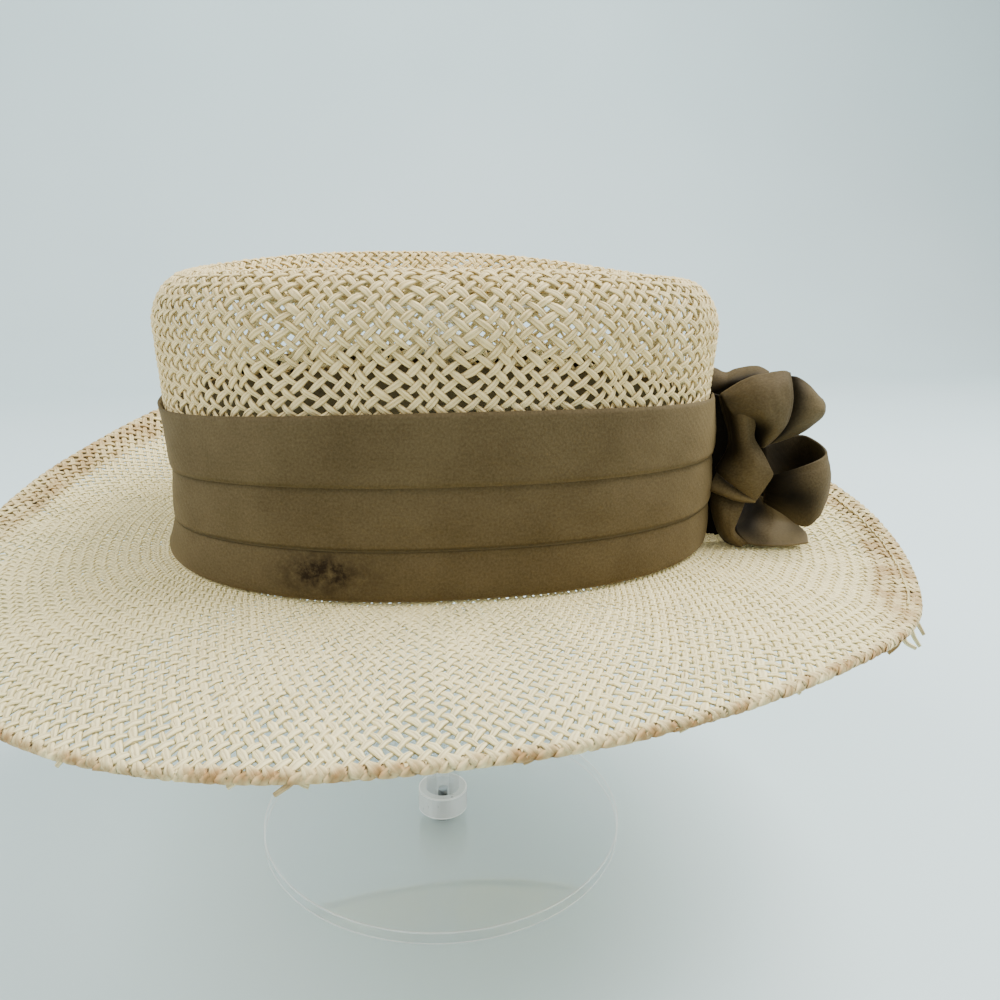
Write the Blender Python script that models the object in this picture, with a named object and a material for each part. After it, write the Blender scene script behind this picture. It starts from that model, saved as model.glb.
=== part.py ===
"""Woven straw hat with a pleated cloth band and a cloth rosette, on a clear display stand.

The hat's length runs along X with its front at -X, its width along Y and its height along Z.
The origin is the middle of the stand's underside.
"""
import math

import bmesh
import bpy
import numpy as np
from mathutils import Vector

# Display stand
BASE_RADIUS = 0.0762
BASE_FLOOR = 0.0023
COLLAR_WALL = 0.0032
COLLAR_HEIGHT = 0.0096
POST_RADIUS = 0.007
TOP_DISC_MARGIN = 0.0052
TOP_DISC_THICKNESS = 0.005
STAND_HEIGHT = 0.2268
SCREW_RADIUS = 0.002
SCREW_HEAD_LIP = 0.0022
SCREW_HEAD_HEIGHT = 0.0024
SCREW_LENGTH = 0.0135
CLEARANCE = 0.0003

# Straw hood
CROWN_LENGTH = 0.1996
CROWN_WIDTH = 0.1704
CROWN_HEIGHT = 0.0995
CROWN_BULGE = 0.0015
CROWN_BACK_DROP = 0.005
CROWN_FRONT_DROP = 0.003
CROWN_FAR_RISE = 0.0026
SHOULDER_INSET = 0.015
SHOULDER_HEIGHT = 0.018
RIM_SLOPE_WIDTH = 0.012
GROOVE_WIDTH = 0.0095
GROOVE_SINK = 0.003
PLATEAU_DROP = 0.007
ROOT_FILLET = 0.002
BRIM_WIDTH = 0.0786
BRIM_CURL = 1.7
STRAW_WALL = 0.0018
HEM_WIDTH = 0.013
HEM_FOLD = 0.0014
HEM_STEP = 0.0006
ROOT_SQUARENESS = 2.32
EDGE_SQUARENESS = 2.1

# Cloth band
BAND_HEIGHT = 0.0584
BAND_BACK_DROP = 0.0057
BAND_FRONT_DROP = 0.0073
BAND_DEPTH = 0.0026
BAND_SEAT = 0.4
PINCH_DEPTH = 0.0062
PINCH_SPREAD = 0.34
PINCH_FULLNESS = 0.8

# Rosette
ROSETTE_TURN = -24.0
ROSETTE_REACH = 0.043
ROSETTE_DEPTH = 0.020
ROSETTE_HEIGHT = 0.061
ROSETTE_CLOTH = 0.0016
GATHER_THICKNESS = 0.0085

# Rings around the hat and sections along it
SEGMENTS = 64
SHOULDER_STEPS = 5
FILLET_STEPS = 3
BRIM_STEPS = 5
GROOVE_SHARES = (0.35, 0.75)
SLOPE_SHARES = (0.0, 0.35, 0.7)
WALL_SHARES = (0.0, 0.28, 0.52, 0.76, 1.0)
BAND_INNER_SHARES = (1.0, 0.75, 0.5, 0.25, 0.02)
BAND_INNER_LEAN = 0.03
BAND_FOOT_LEAN = 0.22

# Turn around the brim in degrees from the back, lift of the edge as a share of the brim's width
BRIM_LIFT = (
    (0, 0.05),
    (30, 0.23),
    (60, 0.37),
    (90, 0.45),
    (120, 0.43),
    (150, 0.16),
    (180, -0.08),
    (210, -0.195),
    (240, -0.165),
    (270, -0.065),
    (300, 0.0),
    (330, -0.09),
)

# Height as a share of the band's height, outward place as a share of the band's depth
BAND_PROFILE = (
    (0.00, 0.52),
    (0.03, 0.74),
    (0.13, 0.80),
    (0.283, 0.40),
    (0.293, 0.86),
    (0.44, 0.84),
    (0.616, 0.44),
    (0.628, 0.94),
    (0.77, 0.90),
    (0.92, 0.58),
    (1.00, 0.44),
)

# Loops and folds of the rosette: out, near and up as shares of its reach, depth and height
TOP_LOOP_GATHER = (0.06, -0.12, 0.80)
TOP_LOOP_MOUTH = (
    (0.49, -0.30, 1.00),
    (0.59, -0.15, 0.95),
    (0.61, -0.05, 0.87),
    (0.55, 0.15, 0.77),
    (0.46, 0.25, 0.68),
    (0.42, 0.15, 0.60),
    (0.72, -0.40, 0.65),
    (0.90, -0.85, 0.77),
    (0.73, -0.75, 0.91),
)
TAIL_TIP = (0.81, 0.25, 0.055)
TAIL_MOUTH = (
    (0.06, 0.25, 0.30),
    (0.09, 0.35, 0.14),
    (0.22, 0.50, 0.06),
    (0.33, 0.53, 0.04),
    (0.44, 0.20, 0.06),
    (0.44, 0.00, 0.19),
    (0.24, 0.00, 0.30),
)
SMALL_FOLD_TIP = (0.36, 0.50, 0.30)
SMALL_FOLD_MOUTH = (
    (0.05, 0.22, 0.32),
    (0.06, 0.25, 0.42),
    (0.10, -0.15, 0.41),
    (0.08, -0.15, 0.31),
)

# Ribbons of the rosette: the upper edge's out, near and up, then the lower edge's
SIDE_LOOP = (
    (0.18, 0.00, 0.44, 0.18, 0.00, 0.28),
    (0.39, 0.10, 0.40, 0.42, 0.10, 0.29),
    (0.50, 0.15, 0.43, 0.58, 0.10, 0.18),
    (0.68, -0.05, 0.46, 0.76, -0.08, 0.11),
    (0.90, -0.45, 0.49, 0.94, -0.38, 0.14),
    (0.95, -0.85, 0.51, 0.98, -0.80, 0.25),
    (0.76, -1.35, 0.57, 0.84, -1.25, 0.26),
    (0.56, -1.25, 0.53, 0.64, -1.15, 0.24),
    (0.37, -0.85, 0.50, 0.40, -0.72, 0.28),
    (0.16, -0.35, 0.47, 0.17, -0.32, 0.30),
)
FRONT_FOLD = (
    (0.06, 0.08, 0.88, 0.28, 0.35, 0.85),
    (0.08, 0.15, 0.77, 0.32, 0.40, 0.73),
    (0.14, 0.20, 0.62, 0.32, 0.40, 0.62),
    (0.12, 0.30, 0.47, 0.48, 0.45, 0.46),
    (0.28, 0.44, 0.36, 0.36, 0.50, 0.31),
)
BACK_FOLD = (
    (0.045, -0.50, 0.93, 0.045, -0.40, 0.78),
    (0.06, -0.90, 0.97, 0.07, -0.74, 0.82),
    (0.25, -1.10, 1.00, 0.26, -0.90, 0.86),
    (0.41, -1.00, 0.99, 0.42, -0.82, 0.86),
    (0.53, -0.80, 0.97, 0.53, -0.70, 0.86),
)

# The gathered middle: out, half depth and up of its rounded stations
GATHER = (
    (0.00, 0.10, 0.12),
    (0.00, 0.42, 0.24),
    (0.00, 0.55, 0.50),
    (0.00, 0.58, 0.76),
    (0.00, 0.28, 0.92),
)

ROOT_LEVEL = STAND_HEIGHT + CLEARANCE + STRAW_WALL + PLATEAU_DROP - CROWN_HEIGHT
BAND_BOTTOM = ROOT_LEVEL + BAND_SEAT * ROOT_FILLET
PINCH_TOP = BAND_BOTTOM + BAND_HEIGHT - BAND_FRONT_DROP
GROOVE_INSET = SHOULDER_INSET + RIM_SLOPE_WIDTH
GROOVE_DEPTH = PLATEAU_DROP + GROOVE_SINK
PLATEAU_INSET = GROOVE_INSET + GROOVE_WIDTH
TOP_DISC_RADIUS = CROWN_WIDTH / 2 + CROWN_BULGE - PLATEAU_INSET - TOP_DISC_MARGIN
BASE_THICKNESS = SCREW_HEAD_HEIGHT + CLEARANCE + BASE_FLOOR
COLLAR_RADIUS = POST_RADIUS + CLEARANCE + COLLAR_WALL
SCREW_HEAD_RADIUS = SCREW_RADIUS + SCREW_HEAD_LIP


def clear_scene():
    """Remove every object that the file opened with."""
    for item in list(bpy.data.objects):
        bpy.data.objects.remove(item, do_unlink=True)


def material(name, colour, roughness, metallic=0.0, transmission=0.0):
    """Return a Principled material of one colour."""
    result = bpy.data.materials.new(name)
    result.use_nodes = True
    shader = result.node_tree.nodes["Principled BSDF"]
    shader.inputs["Base Color"].default_value = (*colour, 1.0)
    shader.inputs["Roughness"].default_value = roughness
    shader.inputs["Metallic"].default_value = metallic
    shader.inputs["Transmission Weight"].default_value = transmission
    return result


def add_object(name, points, faces, surface):
    """Make a named object from points and faces, with its faces pointing out."""
    mesh = bpy.data.meshes.new(name)
    mesh.from_pydata([tuple(point) for point in points], [], faces)
    shape = bmesh.new()
    shape.from_mesh(mesh)
    bmesh.ops.recalc_face_normals(shape, faces=shape.faces)
    shape.to_mesh(mesh)
    shape.free()
    mesh.shade_smooth()
    mesh.set_sharp_from_angle(angle=math.radians(40))
    mesh.materials.append(surface)
    result = bpy.data.objects.new(name, mesh)
    bpy.context.collection.objects.link(result)
    return result


def closed_curve(values, place):
    """Read a smooth closed curve through evenly spaced values at each place, 0 to 1 round."""
    values = np.asarray(values, float)
    count = len(values)
    step = np.asarray(place) * count
    first = np.floor(step).astype(int)
    share = step - first
    if values.ndim > 1:
        share = share[:, None]
    before, start, end, after = (values[(first + shift) % count] for shift in (-1, 0, 1, 2))
    bend = 2 * before - 5 * start + 4 * end - after
    twist = 3 * start - before - 3 * end + after
    return start + 0.5 * share * (end - before + share * (bend + share * twist))


def open_curve(values, place):
    """Read a smooth open curve through evenly spaced values at each place, 0 to 1 along."""
    values = np.asarray(values, float)
    padded = np.vstack([2 * values[0] - values[1], values, 2 * values[-1] - values[-2]])
    count = len(values) - 1
    step = np.asarray(place) * count
    first = np.minimum(np.floor(step).astype(int), count - 1)
    share = (step - first)[:, None]
    before, start, end, after = (padded[first + shift] for shift in (0, 1, 2, 3))
    bend = 2 * before - 5 * start + 4 * end - after
    twist = 3 * start - before - 3 * end + after
    return start + 0.5 * share * (end - before + share * (bend + share * twist))


def turns():
    """Return the angles around the hat, from the back end towards the far side."""
    return np.arange(SEGMENTS) * 2 * math.pi / SEGMENTS


def oval(half_length, half_width, squareness, height):
    """Return one closed superellipse ring of points at a height."""
    angle = turns()
    power = 2 / squareness
    across = half_length * np.sign(np.cos(angle)) * np.abs(np.cos(angle)) ** power
    along = half_width * np.sign(np.sin(angle)) * np.abs(np.sin(angle)) ** power
    return np.column_stack([across, along, np.broadcast_to(height, angle.shape)])


def pinched(ring):
    """Press a ring in at the front, most at the middle of the band's height there."""
    share = np.clip((ring[:, 2] - BAND_BOTTOM) / (PINCH_TOP - BAND_BOTTOM), 0.0, 1.0)
    press = np.sin(math.pi * share) ** PINCH_FULLNESS
    away = turns() - math.pi
    ring[:, 0] += PINCH_DEPTH * press * np.exp(-((away / PINCH_SPREAD) ** 2))
    return ring


def end_drop(back, front):
    """Return how far a level ring sinks towards its back and front ends."""
    along = np.cos(turns())
    return np.where(along > 0, back, front) * along ** 2


def crown_drop():
    """Return how far the crown's top sinks at its ends, less its rise on the far side."""
    across = np.maximum(np.sin(turns()), 0.0)
    return end_drop(CROWN_BACK_DROP, CROWN_FRONT_DROP) - CROWN_FAR_RISE * across ** 2


def crown_ring(inset, height):
    """Return a ring inside the crown's widest oval at a height."""
    half_length = CROWN_LENGTH / 2 + CROWN_BULGE - inset
    half_width = CROWN_WIDTH / 2 + CROWN_BULGE - inset
    return oval(half_length, half_width, ROOT_SQUARENESS, height)


def brim_ring(out):
    """Return the brim's upper ring at a distance out from the crown's wall."""
    share = max(out - ROOT_FILLET, 0.0) / (BRIM_WIDTH - ROOT_FILLET)
    edge = closed_curve([lift for _, lift in BRIM_LIFT], turns() / (2 * math.pi))
    height = ROOT_LEVEL + BRIM_WIDTH * edge * share ** BRIM_CURL
    squareness = ROOT_SQUARENESS + (EDGE_SQUARENESS - ROOT_SQUARENESS) * share
    return oval(CROWN_LENGTH / 2 + out, CROWN_WIDTH / 2 + out, squareness, height)


def hood_rings():
    """Return the hood's upper rings from the crown's middle to the brim's edge."""
    ridge = ROOT_LEVEL + CROWN_HEIGHT
    plateau = ridge - PLATEAU_DROP
    rings = [crown_ring(PLATEAU_INSET, plateau)]
    rings.insert(0, rings[0] * (0.5, 0.5, 1.0))
    for share in GROOVE_SHARES:
        inset = PLATEAU_INSET - GROOVE_WIDTH * share
        ring = crown_ring(inset, plateau - GROOVE_SINK * math.sin(math.pi / 2 * share))
        ring[:, 2] -= crown_drop() * share / 4
        rings.append(ring)
    for share in SLOPE_SHARES:
        inset = GROOVE_INSET - RIM_SLOPE_WIDTH * share
        rise = 0.5 - 0.5 * math.cos(math.pi * share)
        ring = crown_ring(inset, ridge - GROOVE_DEPTH * (1 - rise))
        ring[:, 2] -= crown_drop() * (0.4 + 0.6 * share)
        rings.append(ring)
    for step in range(SHOULDER_STEPS + 1):
        angle = math.pi / 2 * step / SHOULDER_STEPS
        inset = SHOULDER_INSET * (1 - math.sin(angle))
        ring = crown_ring(inset, ridge - SHOULDER_HEIGHT * (1 - math.cos(angle)))
        ring[:, 2] -= crown_drop()
        rings.append(ring)
    foot = ROOT_LEVEL + ROOT_FILLET
    for share in WALL_SHARES:
        rings.append(pinched(crown_ring(CROWN_BULGE, PINCH_TOP + (foot - PINCH_TOP) * share)))
    for step in range(1, FILLET_STEPS):
        angle = math.pi / 2 * step / FILLET_STEPS
        ring = brim_ring(ROOT_FILLET * (1 - math.cos(angle)))
        ring[:, 2] = ROOT_LEVEL + ROOT_FILLET * (1 - math.sin(angle))
        rings.append(ring)
    flat = BRIM_WIDTH - HEM_WIDTH - ROOT_FILLET
    outs = [ROOT_FILLET + flat * step / BRIM_STEPS for step in range(BRIM_STEPS + 1)]
    outs += [BRIM_WIDTH - HEM_WIDTH + HEM_STEP, BRIM_WIDTH - HEM_WIDTH / 2, BRIM_WIDTH]
    rings += [brim_ring(out) for out in outs]
    return rings


def surface_normals(grid, closed_top):
    """Return unit normals of a grid of rings, pointing to the side that the rings face."""
    around = np.roll(grid, -1, axis=1) - np.roll(grid, 1, axis=1)
    down = np.empty_like(grid)
    down[1:-1] = grid[2:] - grid[:-2]
    down[-1] = grid[-1] - grid[-2]
    down[0] = grid[1] - (closed_top if closed_top is not None else grid[0])
    normal = np.cross(down, around)
    return normal / np.linalg.norm(normal, axis=2, keepdims=True)


def shell(name, outer, inner, outer_tip, inner_tip, surface):
    """Close two stacks of rings into one walled body with a tip at each stack's start."""
    rings, count = outer.shape[:2]
    points = [outer_tip, *outer.reshape(-1, 3), inner_tip, *inner.reshape(-1, 3)]
    second = 1 + rings * count
    faces = []
    for start, tip in ((1, 0), (second + 1, second)):
        for step in range(count):
            following = (step + 1) % count
            faces.append((tip, start + step, start + following))
            for ring in range(rings - 1):
                low = start + ring * count
                high = low + count
                faces.append((low + step, high + step, high + following, low + following))
    edge = 1 + (rings - 1) * count
    rim = second + 1 + (rings - 1) * count
    for step in range(count):
        following = (step + 1) % count
        faces.append((edge + step, rim + step, rim + following, edge + following))
    return add_object(name, points, faces, surface)


def make_hood(surface):
    """Make the woven hood: crown, brim and folded hem in one walled body."""
    outer = np.array(hood_rings())
    normal = surface_normals(outer, outer[0].mean(axis=0))
    wall = np.full(len(outer), STRAW_WALL)
    wall[-3:] += HEM_FOLD
    inner = outer - normal * wall[:, None, None]
    middle = outer[0].mean(axis=0)
    return shell("straw_hood", outer, inner, middle, middle - (0, 0, STRAW_WALL), surface)


def band_ring(height_share, out_share):
    """Return one ring of the band from its height and outward shares."""
    height = BAND_BOTTOM + BAND_HEIGHT * height_share
    out = BAND_DEPTH * out_share + CLEARANCE
    height = height - end_drop(BAND_BACK_DROP, BAND_FRONT_DROP) * height_share
    ring = oval(CROWN_LENGTH / 2 + out, CROWN_WIDTH / 2 + out, ROOT_SQUARENESS, height)
    return pinched(ring)


def make_band(surface):
    """Make the band: three overlapping pleats around the crown, hollow in the middle."""
    outer = [band_ring(height, out) for height, out in BAND_PROFILE]
    inner = [band_ring(share, BAND_INNER_LEAN) for share in BAND_INNER_SHARES]
    inner.append(band_ring(0.0, BAND_FOOT_LEAN))
    grid = np.array(outer + inner)
    rings, count = grid.shape[:2]
    faces = []
    for ring in range(rings):
        low = ring * count
        high = (ring + 1) % rings * count
        for step in range(count):
            following = (step + 1) % count
            faces.append((low + step, low + following, high + following, high + step))
    return add_object("pleated_band", grid.reshape(-1, 3), faces, surface)


def rosette_frame():
    """Return the rosette's seat on the band and its outward and near directions."""
    angle = math.radians(ROSETTE_TURN)
    half_length = CROWN_LENGTH / 2 + CLEARANCE + BAND_DEPTH
    half_width = CROWN_WIDTH / 2 + CLEARANCE + BAND_DEPTH
    power = 2 / ROOT_SQUARENESS
    across = half_length * math.cos(angle) ** power
    along = -half_width * abs(math.sin(angle)) ** power
    lean = Vector((
        (across / half_length) ** (ROOT_SQUARENESS - 1) / half_length,
        -(abs(along) / half_width) ** (ROOT_SQUARENESS - 1) / half_width,
        0.0,
    )).normalized()
    seat = Vector((across, along, BAND_BOTTOM)) + lean * CLEARANCE
    return np.array(seat), np.array(lean), np.array((lean.y, -lean.x, 0.0))


def rosette_points(shares):
    """Turn shares of the rosette's sizes into points in the hat's frame."""
    seat, out, near = rosette_frame()
    shares = np.asarray(shares, float)
    place = seat + shares[..., 0:1] * ROSETTE_REACH * out
    place = place + shares[..., 1:2] * ROSETTE_DEPTH * near
    return place + shares[..., 2:3] * ROSETTE_HEIGHT * np.array((0.0, 0.0, 1.0))


def make_cup(name, tip, mouth, surface, count=20, rings=5, roundness=0.62):
    """Make a walled cup of cloth from a closed tip to an open mouth."""
    rim = closed_curve(rosette_points(mouth), np.arange(count) / count)
    start = rosette_points(tip)
    centre = rim.mean(axis=0)
    outer = []
    for ring in range(1, rings + 1):
        share = ring / rings
        outer.append(start + (centre - start) * share + (rim - centre) * share ** roundness)
    outer = np.array(outer)
    normal = surface_normals(outer, start)
    side = np.sum(normal[-1] * (outer[-1] - centre))
    inner = outer - normal * ROSETTE_CLOTH * (1 if side > 0 else -1)
    inside = start + (centre - start) * 0.12
    return shell(name, outer, inner, start, inside, surface)


def make_ribbon(name, rows, surface, steps, across=3):
    """Make a thick strip of cloth between an upper and a lower edge."""
    rows = np.asarray(rows, float)
    place = np.linspace(0, 1, steps)
    upper = open_curve(rosette_points(rows[:, :3]), place)
    lower = open_curve(rosette_points(rows[:, 3:]), place)
    share = np.linspace(0, 1, across)[None, :, None]
    grid = upper[:, None] * (1 - share) + lower[:, None] * share
    along = np.gradient(grid, axis=0)
    down = np.gradient(grid, axis=1)
    normal = np.cross(along, down)
    normal /= np.linalg.norm(normal, axis=2, keepdims=True)
    front = grid + normal * ROSETTE_CLOTH / 2
    back = grid - normal * ROSETTE_CLOTH / 2
    points = np.concatenate([front.reshape(-1, 3), back.reshape(-1, 3)])
    second = steps * across
    faces = []
    for row in range(steps - 1):
        for column in range(across - 1):
            corner = row * across + column
            face = (corner, corner + across, corner + across + 1, corner + 1)
            faces.append(face)
            faces.append(tuple(second + index for index in reversed(face)))
    border = [row * across for row in range(steps)]
    border += [(steps - 1) * across + column for column in range(1, across)]
    border += [row * across + across - 1 for row in range(steps - 2, -1, -1)]
    border += list(range(across - 2, 0, -1))
    for index, corner in enumerate(border):
        following = border[(index + 1) % len(border)]
        faces.append((corner, following, second + following, second + corner))
    return add_object(name, points, faces, surface)


def make_gather(surface, count=10):
    """Make the gathered middle that the loops grow from, flat against the band."""
    seat, out, near = rosette_frame()
    rows = open_curve(GATHER, np.linspace(0, 1, 9))
    rings = []
    for start, depth, height in rows:
        angle = np.arange(count) * 2 * math.pi / count
        width = depth * ROSETTE_DEPTH
        thick = GATHER_THICKNESS * min(1.0, depth * 2.4)
        reach = start * ROSETTE_REACH + thick * (0.5 - 0.5 * np.cos(angle))
        ring = seat + reach[:, None] * out + (width * np.sin(angle))[:, None] * near
        ring[:, 2] += height * ROSETTE_HEIGHT
        rings.append(ring)
    points = [rings[0].mean(axis=0), *np.concatenate(rings), rings[-1].mean(axis=0)]
    last = len(points) - 1
    faces = []
    for step in range(count):
        following = (step + 1) % count
        faces.append((0, 1 + following, 1 + step))
        top = 1 + (len(rings) - 1) * count
        faces.append((last, top + step, top + following))
        for ring in range(len(rings) - 1):
            low = 1 + ring * count
            high = low + count
            faces.append((low + step, low + following, high + following, high + step))
    return add_object("cloth_rosette", points, faces, surface)


def make_rosette(surface):
    """Make the rosette: one ribbon in loops and folds, joined at its gathered middle."""
    rosette = make_gather(surface)
    members = (
        make_cup("top_loop", TOP_LOOP_GATHER, TOP_LOOP_MOUTH, surface, roundness=0.75),
        make_cup("tail_fold", TAIL_TIP, TAIL_MOUTH, surface, count=14),
        make_cup("small_fold", SMALL_FOLD_TIP, SMALL_FOLD_MOUTH, surface, count=10, rings=4),
        make_ribbon("side_loop", SIDE_LOOP, surface, steps=28),
        make_ribbon("front_fold", FRONT_FOLD, surface, steps=13),
        make_ribbon("back_fold", BACK_FOLD, surface, steps=10),
    )
    for member in members:
        member.hide_render = True
        member.display_type = "WIRE"
        union = rosette.modifiers.new(member.name, "BOOLEAN")
        union.operation = "UNION"
        union.solver = "EXACT"
        union.object = member
    return rosette


def turned(name, profile, surface, count):
    """Turn a closed profile of radius and height pairs about the stand's axis."""
    angle = np.arange(count) * 2 * math.pi / count
    points = []
    rows = []
    for radius, height in profile:
        if radius == 0.0:
            rows.append([len(points)])
            points.append((0.0, 0.0, height))
            continue
        rows.append(list(range(len(points), len(points) + count)))
        points += [(radius * math.cos(turn), radius * math.sin(turn), height) for turn in angle]
    faces = []
    pairs = list(zip(rows, rows[1:]))
    if len(rows[0]) > 1:
        pairs.append((rows[-1], rows[0]))
    for low, high in pairs:
        for step in range(count):
            following = (step + 1) % count
            face = [low[step % len(low)], low[following % len(low)]]
            face += [high[following % len(high)], high[step % len(high)]]
            faces.append(tuple(dict.fromkeys(face)))
    return add_object(name, points, [face for face in faces if len(face) > 2], surface)


def make_stand(acrylic, steel):
    """Make the stand: base with a countersunk hole, collar, screw, post and top disc."""
    hole = SCREW_RADIUS + CLEARANCE
    sink = SCREW_HEAD_RADIUS + CLEARANCE
    sink_height = SCREW_HEAD_HEIGHT + CLEARANCE
    post_foot = BASE_THICKNESS + CLEARANCE
    post_top = STAND_HEIGHT - TOP_DISC_THICKNESS - CLEARANCE
    screw_top = CLEARANCE + SCREW_LENGTH
    base = (
        (hole, BASE_THICKNESS),
        (hole, sink_height),
        (sink, sink_height),
        (sink, 0.0),
        (BASE_RADIUS, 0.0),
        (BASE_RADIUS, BASE_THICKNESS),
    )
    collar = (
        (POST_RADIUS + CLEARANCE, post_foot),
        (COLLAR_RADIUS, post_foot),
        (COLLAR_RADIUS, post_foot + COLLAR_HEIGHT),
        (POST_RADIUS + CLEARANCE, post_foot + COLLAR_HEIGHT),
    )
    screw = (
        (0.0, CLEARANCE),
        (SCREW_HEAD_RADIUS, CLEARANCE),
        (SCREW_HEAD_RADIUS, SCREW_HEAD_HEIGHT),
        (SCREW_RADIUS, SCREW_HEAD_HEIGHT),
        (SCREW_RADIUS, screw_top),
        (0.0, screw_top),
    )
    post = (
        (0.0, screw_top + CLEARANCE),
        (hole, screw_top + CLEARANCE),
        (hole, post_foot),
        (POST_RADIUS, post_foot),
        (POST_RADIUS, post_top),
        (0.0, post_top),
    )
    top = (
        (0.0, STAND_HEIGHT - TOP_DISC_THICKNESS),
        (TOP_DISC_RADIUS, STAND_HEIGHT - TOP_DISC_THICKNESS),
        (TOP_DISC_RADIUS, STAND_HEIGHT),
        (0.0, STAND_HEIGHT),
    )
    turned("stand_base", base, acrylic, SEGMENTS)
    turned("stand_collar", collar, acrylic, 32)
    turned("stand_screw", screw, steel, 16)
    turned("stand_post", post, acrylic, 24)
    turned("stand_top_disc", top, acrylic, 48)


def main():
    """Build every piece."""
    clear_scene()
    straw = material("woven_straw", (0.76, 0.68, 0.52), 0.75)
    cloth = material("olive_cloth", (0.16, 0.12, 0.055), 0.85)
    acrylic = material("clear_acrylic", (0.95, 0.97, 0.98), 0.05, transmission=1.0)
    steel = material("dark_screw", (0.08, 0.08, 0.09), 0.35, metallic=1.0)
    make_stand(acrylic, steel)
    make_hood(straw)
    make_band(cloth)
    make_rosette(cloth)


main()
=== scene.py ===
"""Woven straw hat on a clear display stand: the weave, the cloth, the finishes and the studio."""

import math

import bpy
import numpy as np
from bpy.props import FloatProperty, FloatVectorProperty, IntProperty, PointerProperty
from mathutils import Matrix, Vector


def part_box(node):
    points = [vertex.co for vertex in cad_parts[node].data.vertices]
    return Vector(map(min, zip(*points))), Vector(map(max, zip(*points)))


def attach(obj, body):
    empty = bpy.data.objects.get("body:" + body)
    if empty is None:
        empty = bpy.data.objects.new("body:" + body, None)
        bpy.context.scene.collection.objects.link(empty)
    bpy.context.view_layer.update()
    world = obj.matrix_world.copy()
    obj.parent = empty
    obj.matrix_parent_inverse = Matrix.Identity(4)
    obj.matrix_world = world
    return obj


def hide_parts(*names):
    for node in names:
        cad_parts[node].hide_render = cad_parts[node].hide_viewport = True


bl_info = {
    "name": "Woven Straw Hat",
    "version": (1, 0, 0),
    "blender": (4, 5, 0),
    "location": "View3D > Sidebar > Straw Hat",
    "description": "Weaves a straw hat with a cloth band and rosette, on its clear stand",
    "category": "Add Mesh",
}

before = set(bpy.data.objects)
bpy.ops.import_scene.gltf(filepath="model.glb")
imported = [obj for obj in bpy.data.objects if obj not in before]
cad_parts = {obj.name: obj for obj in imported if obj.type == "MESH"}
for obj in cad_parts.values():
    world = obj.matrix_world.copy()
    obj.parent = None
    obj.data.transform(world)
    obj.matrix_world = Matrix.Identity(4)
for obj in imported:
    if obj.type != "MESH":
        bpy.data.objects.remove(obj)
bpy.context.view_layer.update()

# The hat's own sizes in metres, as its solids have them
STAND_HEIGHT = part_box("stand_top_disc")[1][2]
CLEARANCE = 0.0003
STRAW_WALL = 0.0018
CROWN_LENGTH = 0.1996
CROWN_WIDTH = 0.1704
CROWN_HEIGHT = 0.0995
CROWN_BULGE = 0.0015
CROWN_BACK_DROP = 0.005
CROWN_FRONT_DROP = 0.003
CROWN_FAR_RISE = 0.0026
SHOULDER_INSET = 0.015
SHOULDER_HEIGHT = 0.018
RIM_SLOPE_WIDTH = 0.012
GROOVE_WIDTH = 0.0095
GROOVE_SINK = 0.003
PLATEAU_DROP = 0.007
ROOT_FILLET = 0.002
BRIM_WIDTH = 0.0786
BRIM_CURL = 1.7
HEM_WIDTH = 0.013
ROOT_SQUARENESS = 2.32
EDGE_SQUARENESS = 2.1
BAND_HEIGHT = 0.0584
BAND_BACK_DROP = 0.0057
BAND_FRONT_DROP = 0.0073
BAND_DEPTH = 0.0026
PINCH_DEPTH = 0.0062
PINCH_SPREAD = 0.34
PINCH_FULLNESS = 0.8
ROSETTE_TURN = -24.0
ROSETTE_DEPTH = 0.020
RIBBON_HEIGHT = 0.050

# Sizes of the weave: the brim's wall, its rolled edge and the cord in it, the spacing of the
# strands on the crown's top and how far they are tucked under at their ends, and the widths of
# a frayed end and of the sewing thread
BRIM_WALL = 0.0016
ROLL_DEPTH = 0.0026
EDGE_CORD_RADIUS = 0.0013
TOP_PITCH = 0.0036
TOP_TUCK = 0.0012
FRAY_WIDTH = 0.0017
THREAD_WIDTH = 0.0009

# How unevenly the straw is woven, as shares of a strand's spacing, height, width and thickness
UNEVEN_PLACE = 0.07
UNEVEN_HEIGHT = 0.25
UNEVEN_WIDTH = 0.16
UNEVEN_THICKNESS = 0.15

# How far a strand's rise and fall dies down where it bends sharply over the edge
BEND_CALM = 0.65

# Points around a ring of the hat, and rows from the brim's root to its edge
RING_POINTS = 480
BRIM_ROWS = 60

ROOT_LEVEL = STAND_HEIGHT + CLEARANCE + STRAW_WALL + PLATEAU_DROP - CROWN_HEIGHT
RIDGE_LEVEL = ROOT_LEVEL + CROWN_HEIGHT
PLATEAU_LEVEL = RIDGE_LEVEL - PLATEAU_DROP
FOOT_LEVEL = ROOT_LEVEL + 3 * ROOT_FILLET
BAND_BOTTOM = ROOT_LEVEL + 0.4 * ROOT_FILLET
PINCH_TOP = BAND_BOTTOM + BAND_HEIGHT - BAND_FRONT_DROP
GROOVE_INSET = SHOULDER_INSET + RIM_SLOPE_WIDTH
GROOVE_DEPTH = PLATEAU_DROP + GROOVE_SINK
PLATEAU_INSET = GROOVE_INSET + GROOVE_WIDTH

# Lift of the brim's edge every 30 degrees from the back, as a share of the brim's width
BRIM_LIFT = (0.05, 0.23, 0.37, 0.45, 0.43, 0.16, -0.08, -0.195, -0.165, -0.065, 0.0, -0.09)

# Cross-sections of a strand: sideways and upwards shares of its half width and half thickness
ROUND_SECTION = ((-1.0, -0.1), (-0.5, 0.85), (0.5, 0.85), (1.0, -0.1), (0.0, -0.95))
FLAT_SECTION = ((-1.0, -0.35), (-0.45, 0.85), (0.45, 0.85), (1.0, -0.35))

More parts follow.
